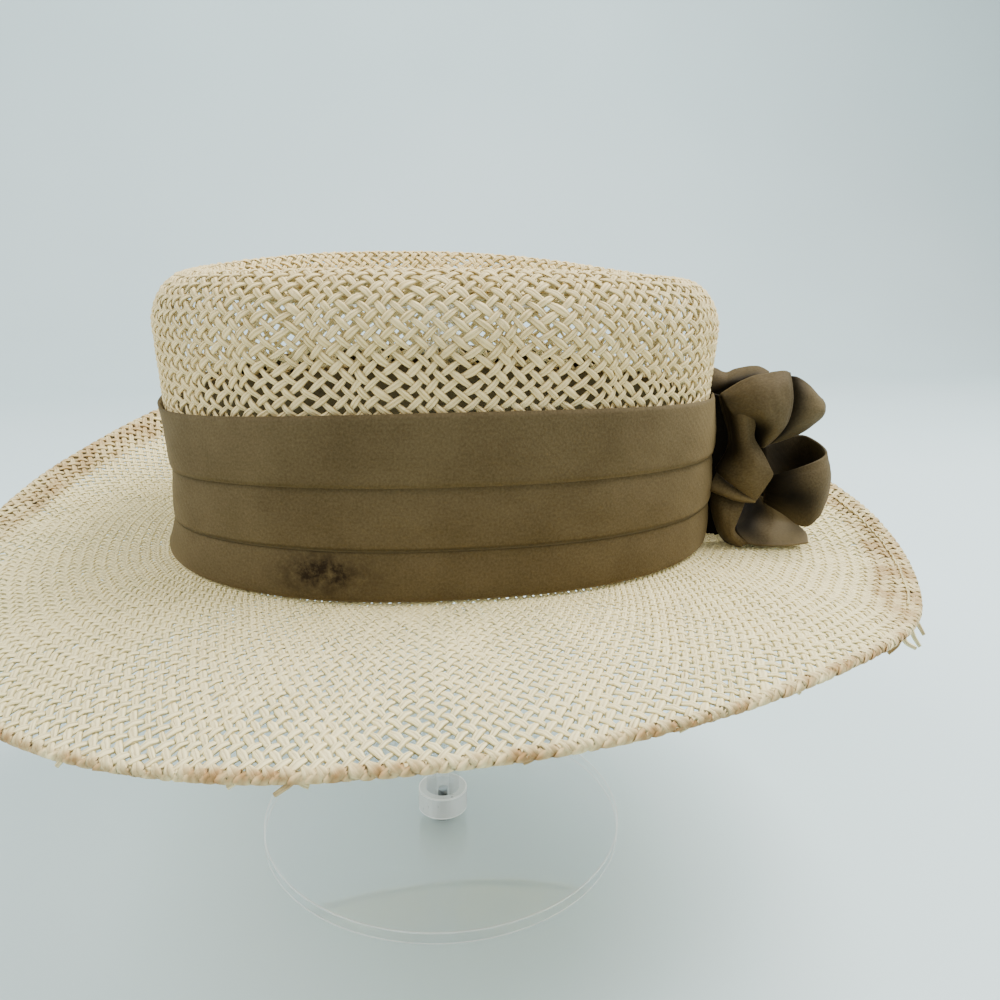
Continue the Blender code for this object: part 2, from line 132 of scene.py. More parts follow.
# Frayed ends under the brim's edge: root, middle and end in pixels across and down the photograph
FRAYS = (
    ((899, 634), (896.5, 643.5), (887, 652.6)),
    ((902, 632), (906, 641), (916, 647)),
    ((909, 625), (913, 636), (919, 646)),
    ((915, 619), (920, 626), (925, 635)),
    ((791, 690), (795, 692), (800, 696)),
    ((246, 783), (238, 789), (231, 794)),
    ((297, 786), (286, 796), (273, 805)),
    ((300, 786), (303, 793), (311, 797)),
    ((695, 720), (690, 726), (680, 732)),
    ((535, 755), (528, 762), (520, 766)),
    ((68, 755), (63, 760), (58, 766)),
)

# Height on the band and outward place, as shares of the band's height and depth, along the cloth
PLEATS = (
    (0.090, 0.16),
    (0.030, 0.18),
    (0.000, 0.36),
    (0.010, 0.60),
    (0.050, 0.76),
    (0.120, 0.82),
    (0.200, 0.76),
    (0.270, 0.62),
    (0.320, 0.46),
    (0.348, 0.34),
    (0.353, 0.40),
    (0.330, 0.50),
    (0.302, 0.62),
    (0.288, 0.74),
    (0.292, 0.86),
    (0.325, 0.94),
    (0.380, 0.93),
    (0.450, 0.94),
    (0.530, 0.82),
    (0.605, 0.66),
    (0.655, 0.48),
    (0.682, 0.36),
    (0.687, 0.42),
    (0.664, 0.52),
    (0.636, 0.66),
    (0.622, 0.78),
    (0.626, 0.90),
    (0.660, 0.99),
    (0.715, 0.97),
    (0.790, 0.95),
    (0.870, 0.78),
    (0.940, 0.62),
    (0.985, 0.50),
    (1.000, 0.38),
    (0.990, 0.22),
    (0.940, 0.14),
)

# Rosette, each fold as rows of points: across and down the photograph in pixels of its 1000 wide frame,
# the distance towards the camera from the rosette's seat as a share of its depth, and how far painted
# shade darkens the cloth there, or painted light brightens it below 0. This stands in for the shadows
# inside its folds and the light on its open faces.
ROSETTE = {
    # The knot is dark all over: painted shade for the deep hollow behind the column
    "knot": (
        ((706, 392, -0.35, 1), (722, 396, -0.35, 1), (742, 400, -0.45, 1), (760, 404, -0.6, 1)),
        ((704, 415, -0.45, 1), (722, 415, -0.5, 1), (742, 418, -0.55, 1), (764, 420, -0.7, 1)),
        ((703, 440, -0.5, 1), (722, 440, -0.55, 1), (744, 442, -0.6, 1), (768, 444, -0.8, 1)),
        ((702, 470, -0.5, 1), (722, 470, -0.55, 1), (746, 472, -0.6, 1), (770, 476, -0.8, 1)),
        ((703, 500, -0.5, 1), (722, 500, -0.5, 1), (744, 500, -0.55, 1), (764, 502, -0.7, 1)),
        ((706, 530, -0.45, 1), (720, 530, -0.4, 1), (738, 528, -0.45, 1), (756, 524, -0.65, 1)),
        ((709, 544, -0.4, 1), (720, 544, -0.35, 1), (734, 543, -0.4, 1), (748, 540, -0.5, 1)),
    ),
    "back_fold": (
        ((704, 371, -0.7, 0), (714, 368, -0.85, 0), (725, 373, -0.9, 0), (736, 369.5, -1, 0),
         (747, 367, -1.05, 0), (758, 366.8, -1, 0), (769, 372, -0.85, 0)),
        ((704, 380, -0.6, 0.35), (714, 378, -0.65, 0.35), (725, 379, -0.65, 0.35),
         (736, 376, -0.7, 0.35), (747, 373, -0.75, 0.35), (758, 372.5, -0.75, 0.35),
         (769, 377, -0.7, 0.35)),
        ((704, 392, -0.5, 0.95), (714, 390, -0.5, 0.95), (725, 386, -0.5, 0.95),
         (736, 382, -0.5, 0.95), (747, 379, -0.55, 0.95), (758, 378, -0.55, 0.95),
         (769, 383, -0.55, 0.95)),
        ((706, 400, -0.6, 0.9), (716, 398, -0.6, 0.9), (727, 394, -0.6, 0.9), (738, 390, -0.6, 0.9),
         (749, 387, -0.6, 0.9), (760, 386, -0.6, 0.9), (771, 390, -0.6, 0.9)),
    ),
    "petal": (
        ((786, 376, -0.6, 1), (788, 392, -0.5, 1), (786, 408, -0.4, 1), (780, 422, -0.3, 1),
         (770, 436, -0.25, 1), (762, 446, -0.25, 1)),
        ((796, 377, -0.5, 0.75), (800, 392, -0.35, 0.75), (799, 408, -0.25, 0.75),
         (793, 422, -0.2, 0.75), (782, 433, -0.2, 1), (768, 444, -0.22, 1)),
        ((808, 385, -0.6, 0.1), (813, 397, -0.45, 0.1), (812, 410, -0.35, 0.1), (805, 421, -0.3, 0.1),
         (790, 432, -0.3, 0.4), (772, 443, -0.25, 0.4)),
        ((818, 396, -0.75, 0), (822, 403, -0.65, 0), (822, 411, -0.55, 0), (814, 421, -0.5, 0),
         (798, 432.5, -0.4, 0.3), (777, 441.5, -0.3, 0.3)),
        ((822.5, 400, -0.85, 0.15), (825, 406, -0.8, 0.15), (823.5, 414, -0.7, 0.15),
         (817, 421, -0.65, 0.15), (801, 432.5, -0.5, 0.45), (779, 441, -0.4, 0.45)),
    ),
    "dome": (
        ((721, 394, 0.05, 0.3), (735, 385, 0.02, 0.15), (752, 377, 0, 0.15), (770, 373, -0.1, 0.15),
         (783, 371.5, -0.2, 0.15), (790, 373, -0.3, 0.45)),
        ((724, 400, 0.2, 0.7), (740, 394, 0.26, 0.15), (757, 388, 0.28, 0.15), (773, 385, 0.25, 0.15),
         (785, 384, 0.12, 0.15), (792, 387, -0.05, 0.45)),
        ((730, 410, 0.28, 0.5), (745, 405, 0.38, 0.15), (762, 402, 0.45, 0.15), (776, 400, 0.4, 0.15),
         (786, 400, 0.22, 0.15), (792.5, 400, 0.05, 0.45)),
        ((738, 418, 0.26, 0.8), (751, 413, 0.4, 0.25), (766, 416, 0.5, 0.15), (777, 415, 0.4, 0.15),
         (785, 414, 0.26, 0.15), (790, 414, 0.1, 0.45)),
        ((748, 425, 0.1, 1), (756, 424, 0.1, 1), (768, 428, 0.34, 0.8), (776, 428, 0.34, 0.15),
         (782, 427, 0.22, 0.15), (785, 426, 0.1, 0.45)),
        ((755, 440, -0.15, 1), (758, 440, -0.1, 1), (762, 440, 0.05, 0.9), (767, 441, 0.1, 0.15),
         (771, 440, 0.05, 0.15), (775, 438, -0.05, 0.45)),
        ((757, 446, -0.2, 1), (759, 446.5, -0.15, 1), (761, 447, -0.1, 0.9), (763, 447, -0.05, 0.15),
         (765, 446, -0.05, 0.15), (767, 445, -0.1, 0.45)),
    ),
    "column": (
        ((719, 395, -0.1, 1), (724, 394, 0.08, 0.8), (733, 395, 0.2, 0.05), (742, 398, 0.24, 0.2)),
        ((722, 408, -0.25, 1), (729, 408, 0.15, 0.95), (740, 410, 0.32, 0.05), (752, 412, 0.3, 0.2)),
        ((726, 422, -0.25, 1), (733, 424, 0.18, 0.97), (744, 425, 0.34, 0.05), (755, 424, 0.2, 0.2)),
        ((729, 436, -0.25, 1), (735, 438, 0.22, 0.97), (745, 438, 0.36, 0.05), (754, 438, 0.22, 0.2)),
        ((727, 450, -0.2, 1), (737, 452, 0.3, 0.85), (750, 450, 0.44, 0.05), (763, 454, 0.3, 0.2)),
        ((720, 462, -0.05, 0.95), (734, 466, 0.34, 0.25), (753, 464, 0.5, 0), (770, 468, 0.32, 0.1)),
        ((717, 471, 0.05, 0.95), (731, 478, 0.38, 0.25), (751, 480, 0.5, 0), (772.5, 475, 0.3, 0.1)),
        ((735, 486, 0.3, 0), (743, 491, 0.4, 0), (754, 493, 0.42, 0), (765, 487, 0.34, 0)),
        ((754, 499.5, 0.32, 0), (755, 500, 0.33, 0), (755.5, 500, 0.33, 0), (756, 499.5, 0.32, 0)),
    ),
    "small_fold": (
        ((717, 471, -0.05, 1), (730, 480, 0.1, 1), (743, 490, 0.22, 1), (756, 498, 0.3, 1)),
        ((713, 480, 0.2, 0.05), (727, 487.5, 0.34, 0.05), (741, 495, 0.4, 0.05), (756, 500, 0.36, 0.05)),
        ((709.5, 488.5, 0.2, 0), (724, 494.5, 0.34, 0), (740, 500, 0.38, 0), (755, 501.5, 0.33, 0)),
        ((713, 491, 0, 1), (726, 497, 0.12, 1), (741, 501.5, 0.2, 1), (754, 502, 0.22, 1)),
    ),
    "side_loop": (
        ((764, 478, -0.2, 1), (764, 486, -0.2, 1), (764, 494, -0.2, 1), (764, 502, -0.25, 1)),
        ((776, 474.5, 0, 0.97), (778, 486, 0.08, 0.97), (780, 499, 0.08, 0.97), (784, 514, 0, 0.6)),
        ((790, 470.5, 0.1, 0.88), (793, 484, 0.2, 0.88), (796, 500, 0.2, 1), (797, 524, 0.05, 0.35)),
        ((803, 466, 0.1, 0.45), (807, 482, 0.2, 0.45), (809, 501, 0.2, 0.85), (807, 526, 0.05, 0.3)),
        ((815, 461.5, 0, 0.2), (819, 480, 0.08, 0.2), (819, 500, 0.08, 0.35), (814, 521, -0.05, 0.25)),
        ((823, 457.5, -0.2, 0.05), (827, 477, -0.15, 0.05), (825.5, 496, -0.15, 0.05),
         (820, 514, -0.25, 0.25)),
        ((826.5, 453, -0.5, 0.15), (830, 474, -0.5, 0.15), (828, 493, -0.5, 0.15),
         (822, 508, -0.5, 0.35)),
        ((823, 447, -0.9, 0.5), (827, 470, -0.95, 0.5), (825, 490, -0.95, 0.5), (818, 505, -0.9, 0.7)),
        ((813, 439.5, -1.2, 0.45), (816, 462, -1.25, 0.85), (815, 485, -1.25, 0.85),
         (808, 500, -1.2, 0.95)),
        ((802, 435, -1.3, 0.5), (804, 458, -1.35, 0.9), (803, 480, -1.35, 0.85),
         (798, 496, -1.3, 0.95)),
        ((788, 437, -1.15, 0.6), (789, 458, -1.2, 0.92), (788, 478, -1.2, 0.85),
         (785, 492, -1.15, 0.95)),
        ((775, 441.5, -0.9, 0.9), (776, 460, -0.95, 0.95), (775, 477, -0.95, 0.9), (773, 490, -0.9, 1)),
        ((762, 448, -0.55, 0.8), (763, 462, -0.6, 0.8), (763, 477, -0.6, 0.8), (762, 490, -0.55, 1)),
    ),
    "tail_inside": (
        ((744, 500, -0.3, 1), (752, 497, -0.4, 1), (758, 494.5, -0.5, 0.5), (766, 499, -0.55, -0.15),
         (776, 505, -0.65, -0.15)),
        ((741, 511, -0.1, 1), (752, 509, -0.35, 1), (763, 508, -0.5, 0.85), (774, 510, -0.55, -0.15),
         (787, 515, -0.6, -0.15)),
        ((737.5, 521, 0.15, 0.9), (750, 520, -0.25, 0.97), (764, 521, -0.4, 0.4), (779, 522, -0.5, -0.3),
         (797, 525, -0.55, -0.25)),
        ((735.5, 530, 0.38, 0.95), (750, 532, 0, 0.8), (767, 533, -0.1, 0), (785, 533, -0.2, -0.3),
         (806, 533.5, -0.35, -0.25)),
        ((747, 543.5, 0.36, 0.3), (760, 545.5, 0.25, 0), (775, 546, 0.12, -0.15),
         (791, 545.5, -0.02, -0.25), (808, 543, -0.15, -0.2)),
    ),
    "tail_face": (
        ((710, 490, 0, 1), (722, 496, 0.15, 0.45), (735, 500, 0.22, 0.4), (745, 502, 0.2, 0.5)),
        ((711, 505, 0.05, 0.6), (721, 508, 0.3, 0.05), (731, 511, 0.38, 0), (741, 512, 0.3, 0.1)),
        ((714, 520, 0.05, 0.6), (722, 523, 0.34, 0.05), (730, 524, 0.44, 0), (737, 522, 0.38, 0.1)),
        ((719, 533, 0.05, 0.6), (726, 536, 0.32, 0.05), (732, 536, 0.46, 0), (735, 531, 0.42, 0.1)),
        ((725, 541, 0, 0.6), (734, 545.5, 0.2, 0.05), (741, 546, 0.34, 0), (747, 543, 0.36, 0.1)),
    ),
}

# The photograph's camera: half its frame and its focal length in pixels, its place in metres
# and its turns in degrees
HALF_FRAME = 500
FOCAL_PIXELS = 910.86
CAMERA_PLACE = (0.0, -0.347263, 0.244185)
CAMERA_PITCH = 16.032
CAMERA_ROLL = 0.792
CAMERA_YAW = -3.826
CAMERA_TURN = -7.798


def linear(code):
    """Turn an sRGB hex value into a linear colour with an alpha of 1."""
    shares = [int(code[place:place + 2], 16) / 255 for place in (1, 3, 5)]
    return (*(s / 12.92 if s <= 0.04045 else ((s + 0.055) / 1.055) ** 2.4 for s in shares), 1.0)


def length_property(name, description, default):
    """Length in metres that a user may change."""
    return FloatProperty(name=name, description=description, default=default, unit="LENGTH")


def colour_property(name, description, code):
    """Colour that a user may change, from its sRGB hex value."""
    return FloatVectorProperty(
        name=name, description=description, size=4, subtype="COLOR", default=linear(code))


# Sizes and colours that a user would change


class WeaveSizes(bpy.types.PropertyGroup):
    """Sizes and colours of the straw."""
    crown_strands: IntProperty(
        name="Crown strands", description="Strands leaning each way around the crown", default=108)
    brim_strands: IntProperty(
        name="Brim strands", description="Strands leaning each way around the brim", default=250)
    crown_width: length_property("Crown strand width", "Width of a strand on the crown", 0.0019)
    brim_width: length_property("Brim strand width", "Width of a strand at the brim's edge", 0.0021)
    thickness: length_property("Strand thickness", "Thickness of a flattened strand", 0.0009)
    wave: length_property(
        "Weave height", "Rise and fall of a strand from the weave's middle", 0.0005)
    light: colour_property("Light straw", "Colour of the palest strands", "#FFF0B5")
    warm: colour_property("Warm straw", "Colour of the yellower strands", "#F2E0A6")
    # The crown's colours are the straw made darker and warmer: painted shade for the crown's sides,
    # which face away from the light above
    shaded_crown_light: colour_property(
        "Light crown straw", "Colour of the crown's palest strands", "#FDE7AB")
    shaded_crown_warm: colour_property(
        "Warm crown straw", "Colour of the crown's yellower strands", "#E9CF8A")
    stained: colour_property("Stained straw", "Colour of tanned and stained strands", "#A8834F")


class ClothSizes(bpy.types.PropertyGroup):
    """Sizes and colours of the band's and rosette's cloth."""
    thickness: length_property("Cloth thickness", "Thickness of the twill", 0.0005)
    crease: length_property("Crease height", "Height of the soft creases in the band", 0.00035)
    colour: colour_property("Cloth colour", "Colour of the twill", "#60533A")
    shade: colour_property("Cloth shade", "Colour of its darker threads", "#433720")
    stain: colour_property("Stain colour", "Colour of the mark on the lowest pleat", "#1F150A")


class StageSizes(bpy.types.PropertyGroup):
    """The studio around the hat."""
    floor: colour_property("Floor colour", "Colour of the floor and backdrop", "#CDE0E3")
    key_power: FloatProperty(
        name="Key light power", description="Power of the large light above", default=60.0,
        unit="POWER")
    fill_power: FloatProperty(
        name="Fill light power", description="Power of the light beside the camera", default=18.0,
        unit="POWER")


# Curves and surfaces


def spline(before, start, end, after, share):
    """Catmull-Rom curve from start to end: a cubic that leaves and arrives along its neighbours."""
    bend = 2 * before - 5 * start + 4 * end - after
    twist = 3 * start - before - 3 * end + after
    return start + 0.5 * share * (end - before + share * (bend + share * twist))


def closed_curve(values, place):
    """Catmull-Rom curve through evenly spaced values that meet end to start, place 0 to 1."""
    values = np.asarray(values, float)
    count = len(values)
    step = np.asarray(place) * count
    first = np.floor(step).astype(int)
    share = step - first
    if values.ndim > 1:
        share = share[..., None]
    return spline(*(values[(first + shift) % count] for shift in (-1, 0, 1, 2)), share)


def open_curve(values, place):
    """Catmull-Rom curve through evenly spaced values, place 0 to 1 from first to last."""
    values = np.asarray(values, float)
    padded = np.vstack([2 * values[0] - values[1], values, 2 * values[-1] - values[-2]])
    count = len(values) - 1
    step = np.asarray(place) * count
    first = np.minimum(np.floor(step).astype(int), count - 1)
    return spline(*(padded[first + shift] for shift in (0, 1, 2, 3)), (step - first)[..., None])


def unit(vectors):
    """Scale each vector to a length of 1."""
    return vectors / np.maximum(np.linalg.norm(vectors, axis=-1, keepdims=True), 1e-12)


def oval(outset, squareness, angle):
    """Superellipse around the crown: each half size plus an outset, times a power.

    The power is the cosine or the sine to 2/squareness, with its sign kept.
    """
    power = 2 / squareness
    across = (CROWN_LENGTH / 2 + outset) * np.sign(np.cos(angle)) * np.abs(np.cos(angle)) ** power
    along = (CROWN_WIDTH / 2 + outset) * np.sign(np.sin(angle)) * np.abs(np.sin(angle)) ** power
    return across, along


def even_angles(outset, squareness, count):
    """Angles whose points on a superellipse lie the same distance apart."""
    fine = np.linspace(0, 2 * math.pi, 8 * count + 1)
    across, along = oval(outset, squareness, fine)
    gone = np.concatenate([[0], np.cumsum(np.hypot(np.diff(across), np.diff(along)))])
    return np.interp(np.arange(count) * gone[-1] / count, gone, fine)


def pinch(height, angle):
    """Inward press at the front: a sine over the band's height times a bell around the front."""
    share = np.clip((height - BAND_BOTTOM) / (PINCH_TOP - BAND_BOTTOM), 0, 1)
    press = np.sin(math.pi * share) ** PINCH_FULLNESS
    away = np.mod(angle, 2 * math.pi) - math.pi
    return PINCH_DEPTH * press * np.exp(-((away / PINCH_SPREAD) ** 2))


def end_drop(angle, back, front):
    """Sinking of a level ring towards its ends: the end's drop times cosine squared."""
    along = np.cos(angle)
    return np.where(along > 0, back, front) * along ** 2


def crown_drop(angle):
    """Sinking of the crown's top at its ends, less its rise times sine squared on the far side."""
    across = np.maximum(np.sin(angle), 0.0)
    return end_drop(angle, CROWN_BACK_DROP, CROWN_FRONT_DROP) - CROWN_FAR_RISE * across ** 2


def crown_rings(inset, height, drop, pinched, angle):
    """Rings inside the crown's widest oval, one for each inset, height and share of the drop."""
    across, along = oval(CROWN_BULGE - inset[:, None], ROOT_SQUARENESS, angle)
    level = height[:, None] - drop[:, None] * crown_drop(angle)
    across = across + np.where(pinched[:, None], pinch(height[:, None], angle), 0.0)
    return np.stack([across, along, level], axis=-1)


def brim_rings(out, angle):
    """Rings of the brim: the edge's lift times the share of the way out to the curl's power."""
    share = np.clip((out - ROOT_FILLET) / (BRIM_WIDTH - ROOT_FILLET), 0, None)[:, None]
    lift = closed_curve(BRIM_LIFT, np.mod(angle / (2 * math.pi), 1))
    level = ROOT_LEVEL + BRIM_WIDTH * lift * share ** BRIM_CURL
    squareness = ROOT_SQUARENESS + (EDGE_SQUARENESS - ROOT_SQUARENESS) * share
    across, along = oval(out[:, None], squareness, angle)
    return np.stack([across, along, level], axis=-1)


def ring_normals(rings):
    """Unit normals of stacked rings, across the way down the stack and the way round."""
    around = np.roll(rings, -1, axis=1) - np.roll(rings, 1, axis=1)
    return unit(np.cross(np.gradient(rings, axis=0), around))


def crown_surface():
    """Outer face of the crown from the groove in its top to behind the band.

    The groove is a quarter sine, the slope half a cosine, the shoulder a quarter ellipse. It also
    gives the normals and which rows the band hides.
    """
    angle = even_angles(0, ROOT_SQUARENESS, RING_POINTS)
    share = np.linspace(0.7, 1.0, 4)[:-1]
    groove = (PLATEAU_INSET - GROOVE_WIDTH * share,
              PLATEAU_LEVEL - GROOVE_SINK * np.sin(math.pi / 2 * share), 0.4 * share)
    share = np.linspace(0, 1, 12)[:-1]
    rise = 0.5 - 0.5 * np.cos(math.pi * share)
    slope = (GROOVE_INSET - RIM_SLOPE_WIDTH * share,
             RIDGE_LEVEL - GROOVE_DEPTH * (1 - rise), 0.4 + 0.6 * share)
    turn = np.linspace(0, math.pi / 2, 20)
    shoulder = (SHOULDER_INSET * (1 - np.sin(turn)),
                RIDGE_LEVEL - SHOULDER_HEIGHT * (1 - np.cos(turn)), np.ones(20))
    level = np.concatenate([
        np.linspace(RIDGE_LEVEL - SHOULDER_HEIGHT, PINCH_TOP, 14)[1:],
        np.linspace(PINCH_TOP, FOOT_LEVEL, 24)[1:]])
    ends = [SHOULDER_HEIGHT - RIDGE_LEVEL, -PINCH_TOP]
    inset = np.interp(-level, ends, [0, CROWN_BULGE])
    fade = np.interp(-level, ends, [1, 0])
    parts = [groove, slope, shoulder, (inset, level, fade)]
    inset, level, drop = (np.concatenate([part[k] for part in parts]) for k in range(3))
    rings = crown_rings(inset, level, drop, level < PINCH_TOP, angle)
    return rings, ring_normals(rings), level < PINCH_TOP - 0.003


def brim_surface():
    """Middle of the brim's weave from behind the band, round the edge and back under the hem.

    The edge is a half circle as thick as the roll, and the hem runs back below it. It also gives
    the normals and the middle line of the roll.
    """
    angle = even_angles(BRIM_WIDTH / 2, EDGE_SQUARENESS, RING_POINTS)
    level = np.linspace(FOOT_LEVEL, ROOT_LEVEL + ROOT_FILLET, 4)[:-1]
    foot = crown_rings(np.full(3, CROWN_BULGE), level, np.zeros(3), level < PINCH_TOP, angle)
    turn = np.linspace(0, math.pi / 2, 5)[:-1]
    fillet = brim_rings(ROOT_FILLET * (1 - np.cos(turn)), angle)
    fillet[..., 2] = (ROOT_LEVEL + ROOT_FILLET * (1 - np.sin(turn)))[:, None]
    flat = brim_rings(np.linspace(ROOT_FILLET, BRIM_WIDTH - ROLL_DEPTH / 2, BRIM_ROWS), angle)
    top = np.concatenate([foot, fillet, flat])
    normal = ring_normals(top)
    middle = top - normal * BRIM_WALL / 2
    edge, up = middle[-1] - normal[-1] * ROLL_DEPTH / 2, normal[-1]
    out = unit(top[-1] - top[-2])
    turn = np.linspace(0, math.pi, 9)[1:-1, None, None]
    fold_normal = np.cos(turn) * up + np.sin(turn) * out
    fold = edge + fold_normal * ROLL_DEPTH / 2
    back = slice(-2, -2 - int(BRIM_ROWS * HEM_WIDTH / BRIM_WIDTH), -1)
    under = middle[back] - normal[back] * ROLL_DEPTH
    places = np.concatenate([middle, fold, under])
    return places, np.concatenate([normal, fold_normal, -normal[back]]), edge


def flow(rings, slant):
    """Turn in rounds that a strand has made at each ring.

    It adds each step down the stack times the slant, divided by the length of the ring there.
    """
    step = np.linalg.norm(np.diff(rings, axis=0), axis=-1).mean(axis=1)
    around = np.linalg.norm(rings - np.roll(rings, 1, axis=1), axis=-1).sum(axis=1)
    share = slant * step / (0.5 * (around[1:] + around[:-1]))
    return np.concatenate([[0], np.cumsum(share)]), around


def read_rings(values, row, turn):
    """Read stacked rings between their rows and between their points, turn in rounds."""
    count = values.shape[1]
    place = np.mod(turn, 1) * count
    left = np.floor(place).astype(int) % count
    across = (place - np.floor(place))[..., None]
    top = np.clip(np.floor(row).astype(int), 0, len(values) - 2)
    down = (row - top)[..., None]
    upper = values[top, left] * (1 - across) + values[top, (left + 1) % count] * across
    lower = values[top + 1, left] * (1 - across) + values[top + 1, (left + 1) % count] * across
    return upper * (1 - down) + lower * down


def uneven(shape, scale, chance):
    """Slow random values along the last axis, between -1 and 1: noise read every few samples."""
    count = max(4, int(shape[-1] / scale) + 3)
    knots = chance.uniform(-1, 1, (*shape[:-1], count))
    place = np.linspace(0, count - 1.001, shape[-1])
    first = place.astype(int)
    share = place - first
    share = share * share * (3 - 2 * share)
    return knots[..., first] * (1 - share) + knots[..., first + 1] * share


def drift(turn, way, count, chance):
    """Slow sideways wander of the weave over the hat: a few waves that close around it."""
    total = np.zeros(np.broadcast(turn, way).shape)
    for waves in (5, 9, 14, 22, 31):
        phase, slant = chance.uniform(0, 2 * math.pi), chance.uniform(-8, 8)
        total += np.sin(2 * math.pi * (waves * turn + slant * way) + phase)
    return 0.1 * total / count


def build_mesh(name, points, faces, attributes=()):
    """Put points, faces given as arrays of corner rows, and point attributes into a mesh."""
    used, corners = np.unique(
        np.concatenate([block.ravel() for block in faces]), return_inverse=True)
    sizes = np.concatenate([np.full(len(block), block.shape[1]) for block in faces])
    mesh = bpy.data.meshes.new(name)
    mesh.vertices.add(len(used))
    mesh.vertices.foreach_set("co", points[used].astype(np.float32).ravel())
    mesh.loops.add(len(corners))
    mesh.loops.foreach_set("vertex_index", corners.astype(np.int32).ravel())
    mesh.polygons.add(len(sizes))
    starts = np.concatenate([[0], np.cumsum(sizes)[:-1]])
    mesh.polygons.foreach_set("loop_start", starts.astype(np.int32))
    for label, kind, field, values in attributes:
        item = mesh.attributes.new(label, kind, "POINT")
        item.data.foreach_set(field, values[used].astype(np.float32).ravel())
    mesh.update(calc_edges=True)
    mesh.validate()
    mesh.shade_smooth()
    piece = bpy.data.objects.new(name, mesh)
    bpy.context.collection.objects.link(piece)
    return piece


def strand_mesh(name, centre, normal, width, thickness, section, keep, tint, tan):
    """Carry a section along rows of centres, with a cap at each end of a kept run.

    The section stands across the strand's way: its half width along the side vector, its half
    thickness along the way out. The grain attribute holds the length along, the share across
    and the strand's own tint; tan holds how far it is stained.
    """
    way = unit(np.gradient(centre, axis=1))
    side = unit(np.cross(way, normal))
    out = np.cross(side, way)
    section = np.array(section)
    count = len(section)
    points = (
        centre[:, :, None]
        + side[:, :, None] * (width / 2)[:, :, None, None] * section[:, :1]
        + out[:, :, None] * (thickness / 2)[:, :, None, None] * section[:, 1:])
    rows, steps = keep.shape
    keep = keep & (np.pad(keep, ((0, 0), (1, 0)))[:, :-1] | np.pad(keep, ((0, 0), (0, 1)))[:, 1:])
    index = np.arange(rows * steps * count).reshape(rows, steps, count)
    here, there = index[:, :-1], index[:, 1:]
    sides = np.stack([here, np.roll(here, -1, axis=2), np.roll(there, -1, axis=2), there], axis=-1)
    sides = sides[keep[:, :-1] & keep[:, 1:]].reshape(-1, 4)
    first = keep & ~np.pad(keep, ((0, 0), (1, 0)))[:, :-1]
    last = keep & ~np.pad(keep, ((0, 0), (0, 1)))[:, 1:]
    caps = np.concatenate([index[first][:, ::-1], index[last]])
    length = np.linalg.norm(np.diff(centre, axis=1, prepend=centre[:, :1]), axis=-1).cumsum(axis=1)
    grain = np.empty(points.shape)
    grain[..., 0] = (length + 7.0 * tint[:, :1])[:, :, None]
    grain[..., 1] = section[:, 0]
    grain[..., 2] = tint[:, :, None]
    spread = np.broadcast_to(tan[:, :, None], points.shape[:3])
    return build_mesh(
        name, points.reshape(-1, 3), [sides, caps],
        [("grain", "FLOAT_VECTOR", "vector", grain.reshape(-1, 3)),
         ("tan", "FLOAT", "value", spread.reshape(-1))])


def weave_around(
        name, places, normals, sizes, lean, seed, count, section, width, fill, leaf, slant,
        per_crossing, hidden_row, bend, dress):
    """Weave one family of strands that lean one way around the hat.

    Strand i has turned i/count plus or minus the flow, so it leans alike everywhere and
    crosses the other family each time the flow grows by half of 1/count. Its height is the
    weave's height times the cosine of that, so neighbours pass over and under by turns. fill is
    how far the strands fill their spacing, leaf how far one swells where it lies on top, slant
    its slope and per_crossing its sections from one crossing to the next. The band hides the
    weave from hidden_row on, so it is coarse there. Between the rows of bend it bends sharply,
    lies calmer and has twice the sections. dress gives the stain, the width and the cut.
    """
    chance = np.random.default_rng(seed)
    way, around = flow(places, slant)
    open_way = np.interp(hidden_row, np.arange(len(way)), way)
    fine = np.arange(int(open_way * 2 * per_crossing * count) + 1) / (2 * per_crossing * count)
    coarse = np.arange(int(open_way * 2 * count) + 1, int(way[-1] * 2 * count) + 1) / (2 * count)
    gone = np.concatenate([fine, coarse])
    bend_start, bend_end = np.interp(bend, np.arange(len(way)), way)
    half = (gone[1:] + gone[:-1]) / 2
    gone = np.sort(np.concatenate([gone, half[(half > bend_start) & (half < bend_end)]]))
    steps = len(gone)
    row = np.interp(gone, way, np.arange(len(way)))
    within = np.clip(np.minimum(row - bend[0], bend[1] - row) / 2 + 1, 0, 1)
    calm = 1 - BEND_CALM * within
    turn = np.arange(count)[:, None] / count + lean * gone[None, :]
    # Both families wander alike, because these two draws do not depend on the seed
    wander = drift(turn, gone[None, :], count, np.random.default_rng(5))
    own = chance.normal(0, UNEVEN_PLACE / 2, (count, 1))
    own = own + UNEVEN_PLACE * uneven((count, steps), 9, chance)
    turn = turn + wander + own / count
    shift = drift(turn + 0.31, -gone[None, :], count, np.random.default_rng(6))
    spot = np.interp(gone[None, :] + 0.4 * shift, way, np.arange(len(way)))
    spot[:, -1] = row[-1]
    centre = read_rings(places, spot, turn)
    normal = unit(read_rings(normals, spot, turn))
    phase = np.cos(2 * math.pi * count * gone)[None, :] * lean
    height = calm * phase * (1 + UNEVEN_HEIGHT * uneven((count, steps), 5, chance))
    centre = centre + normal * (sizes.wave * height)[..., None]
    pitch = np.interp(row, np.arange(len(way)), around) / count / math.hypot(1, slant)
    tan, slim, keep = dress(centre, row[None, :] / (len(way) - 1))
    wide = np.minimum(width, fill * pitch)[None, :] * slim * (1 + leaf * phase)
    own = chance.normal(0, UNEVEN_WIDTH / 2, (count, 1))
    wide = wide * (1 + own + UNEVEN_WIDTH * uneven((count, steps), 7, chance))
    thick = sizes.thickness * (1 + UNEVEN_THICKNESS * uneven((count, steps), 6, chance))
    tint = np.repeat(chance.random((count, 1)), steps, axis=1)
    return strand_mesh(name, centre, normal, wide, thick, section, keep, tint, tan)


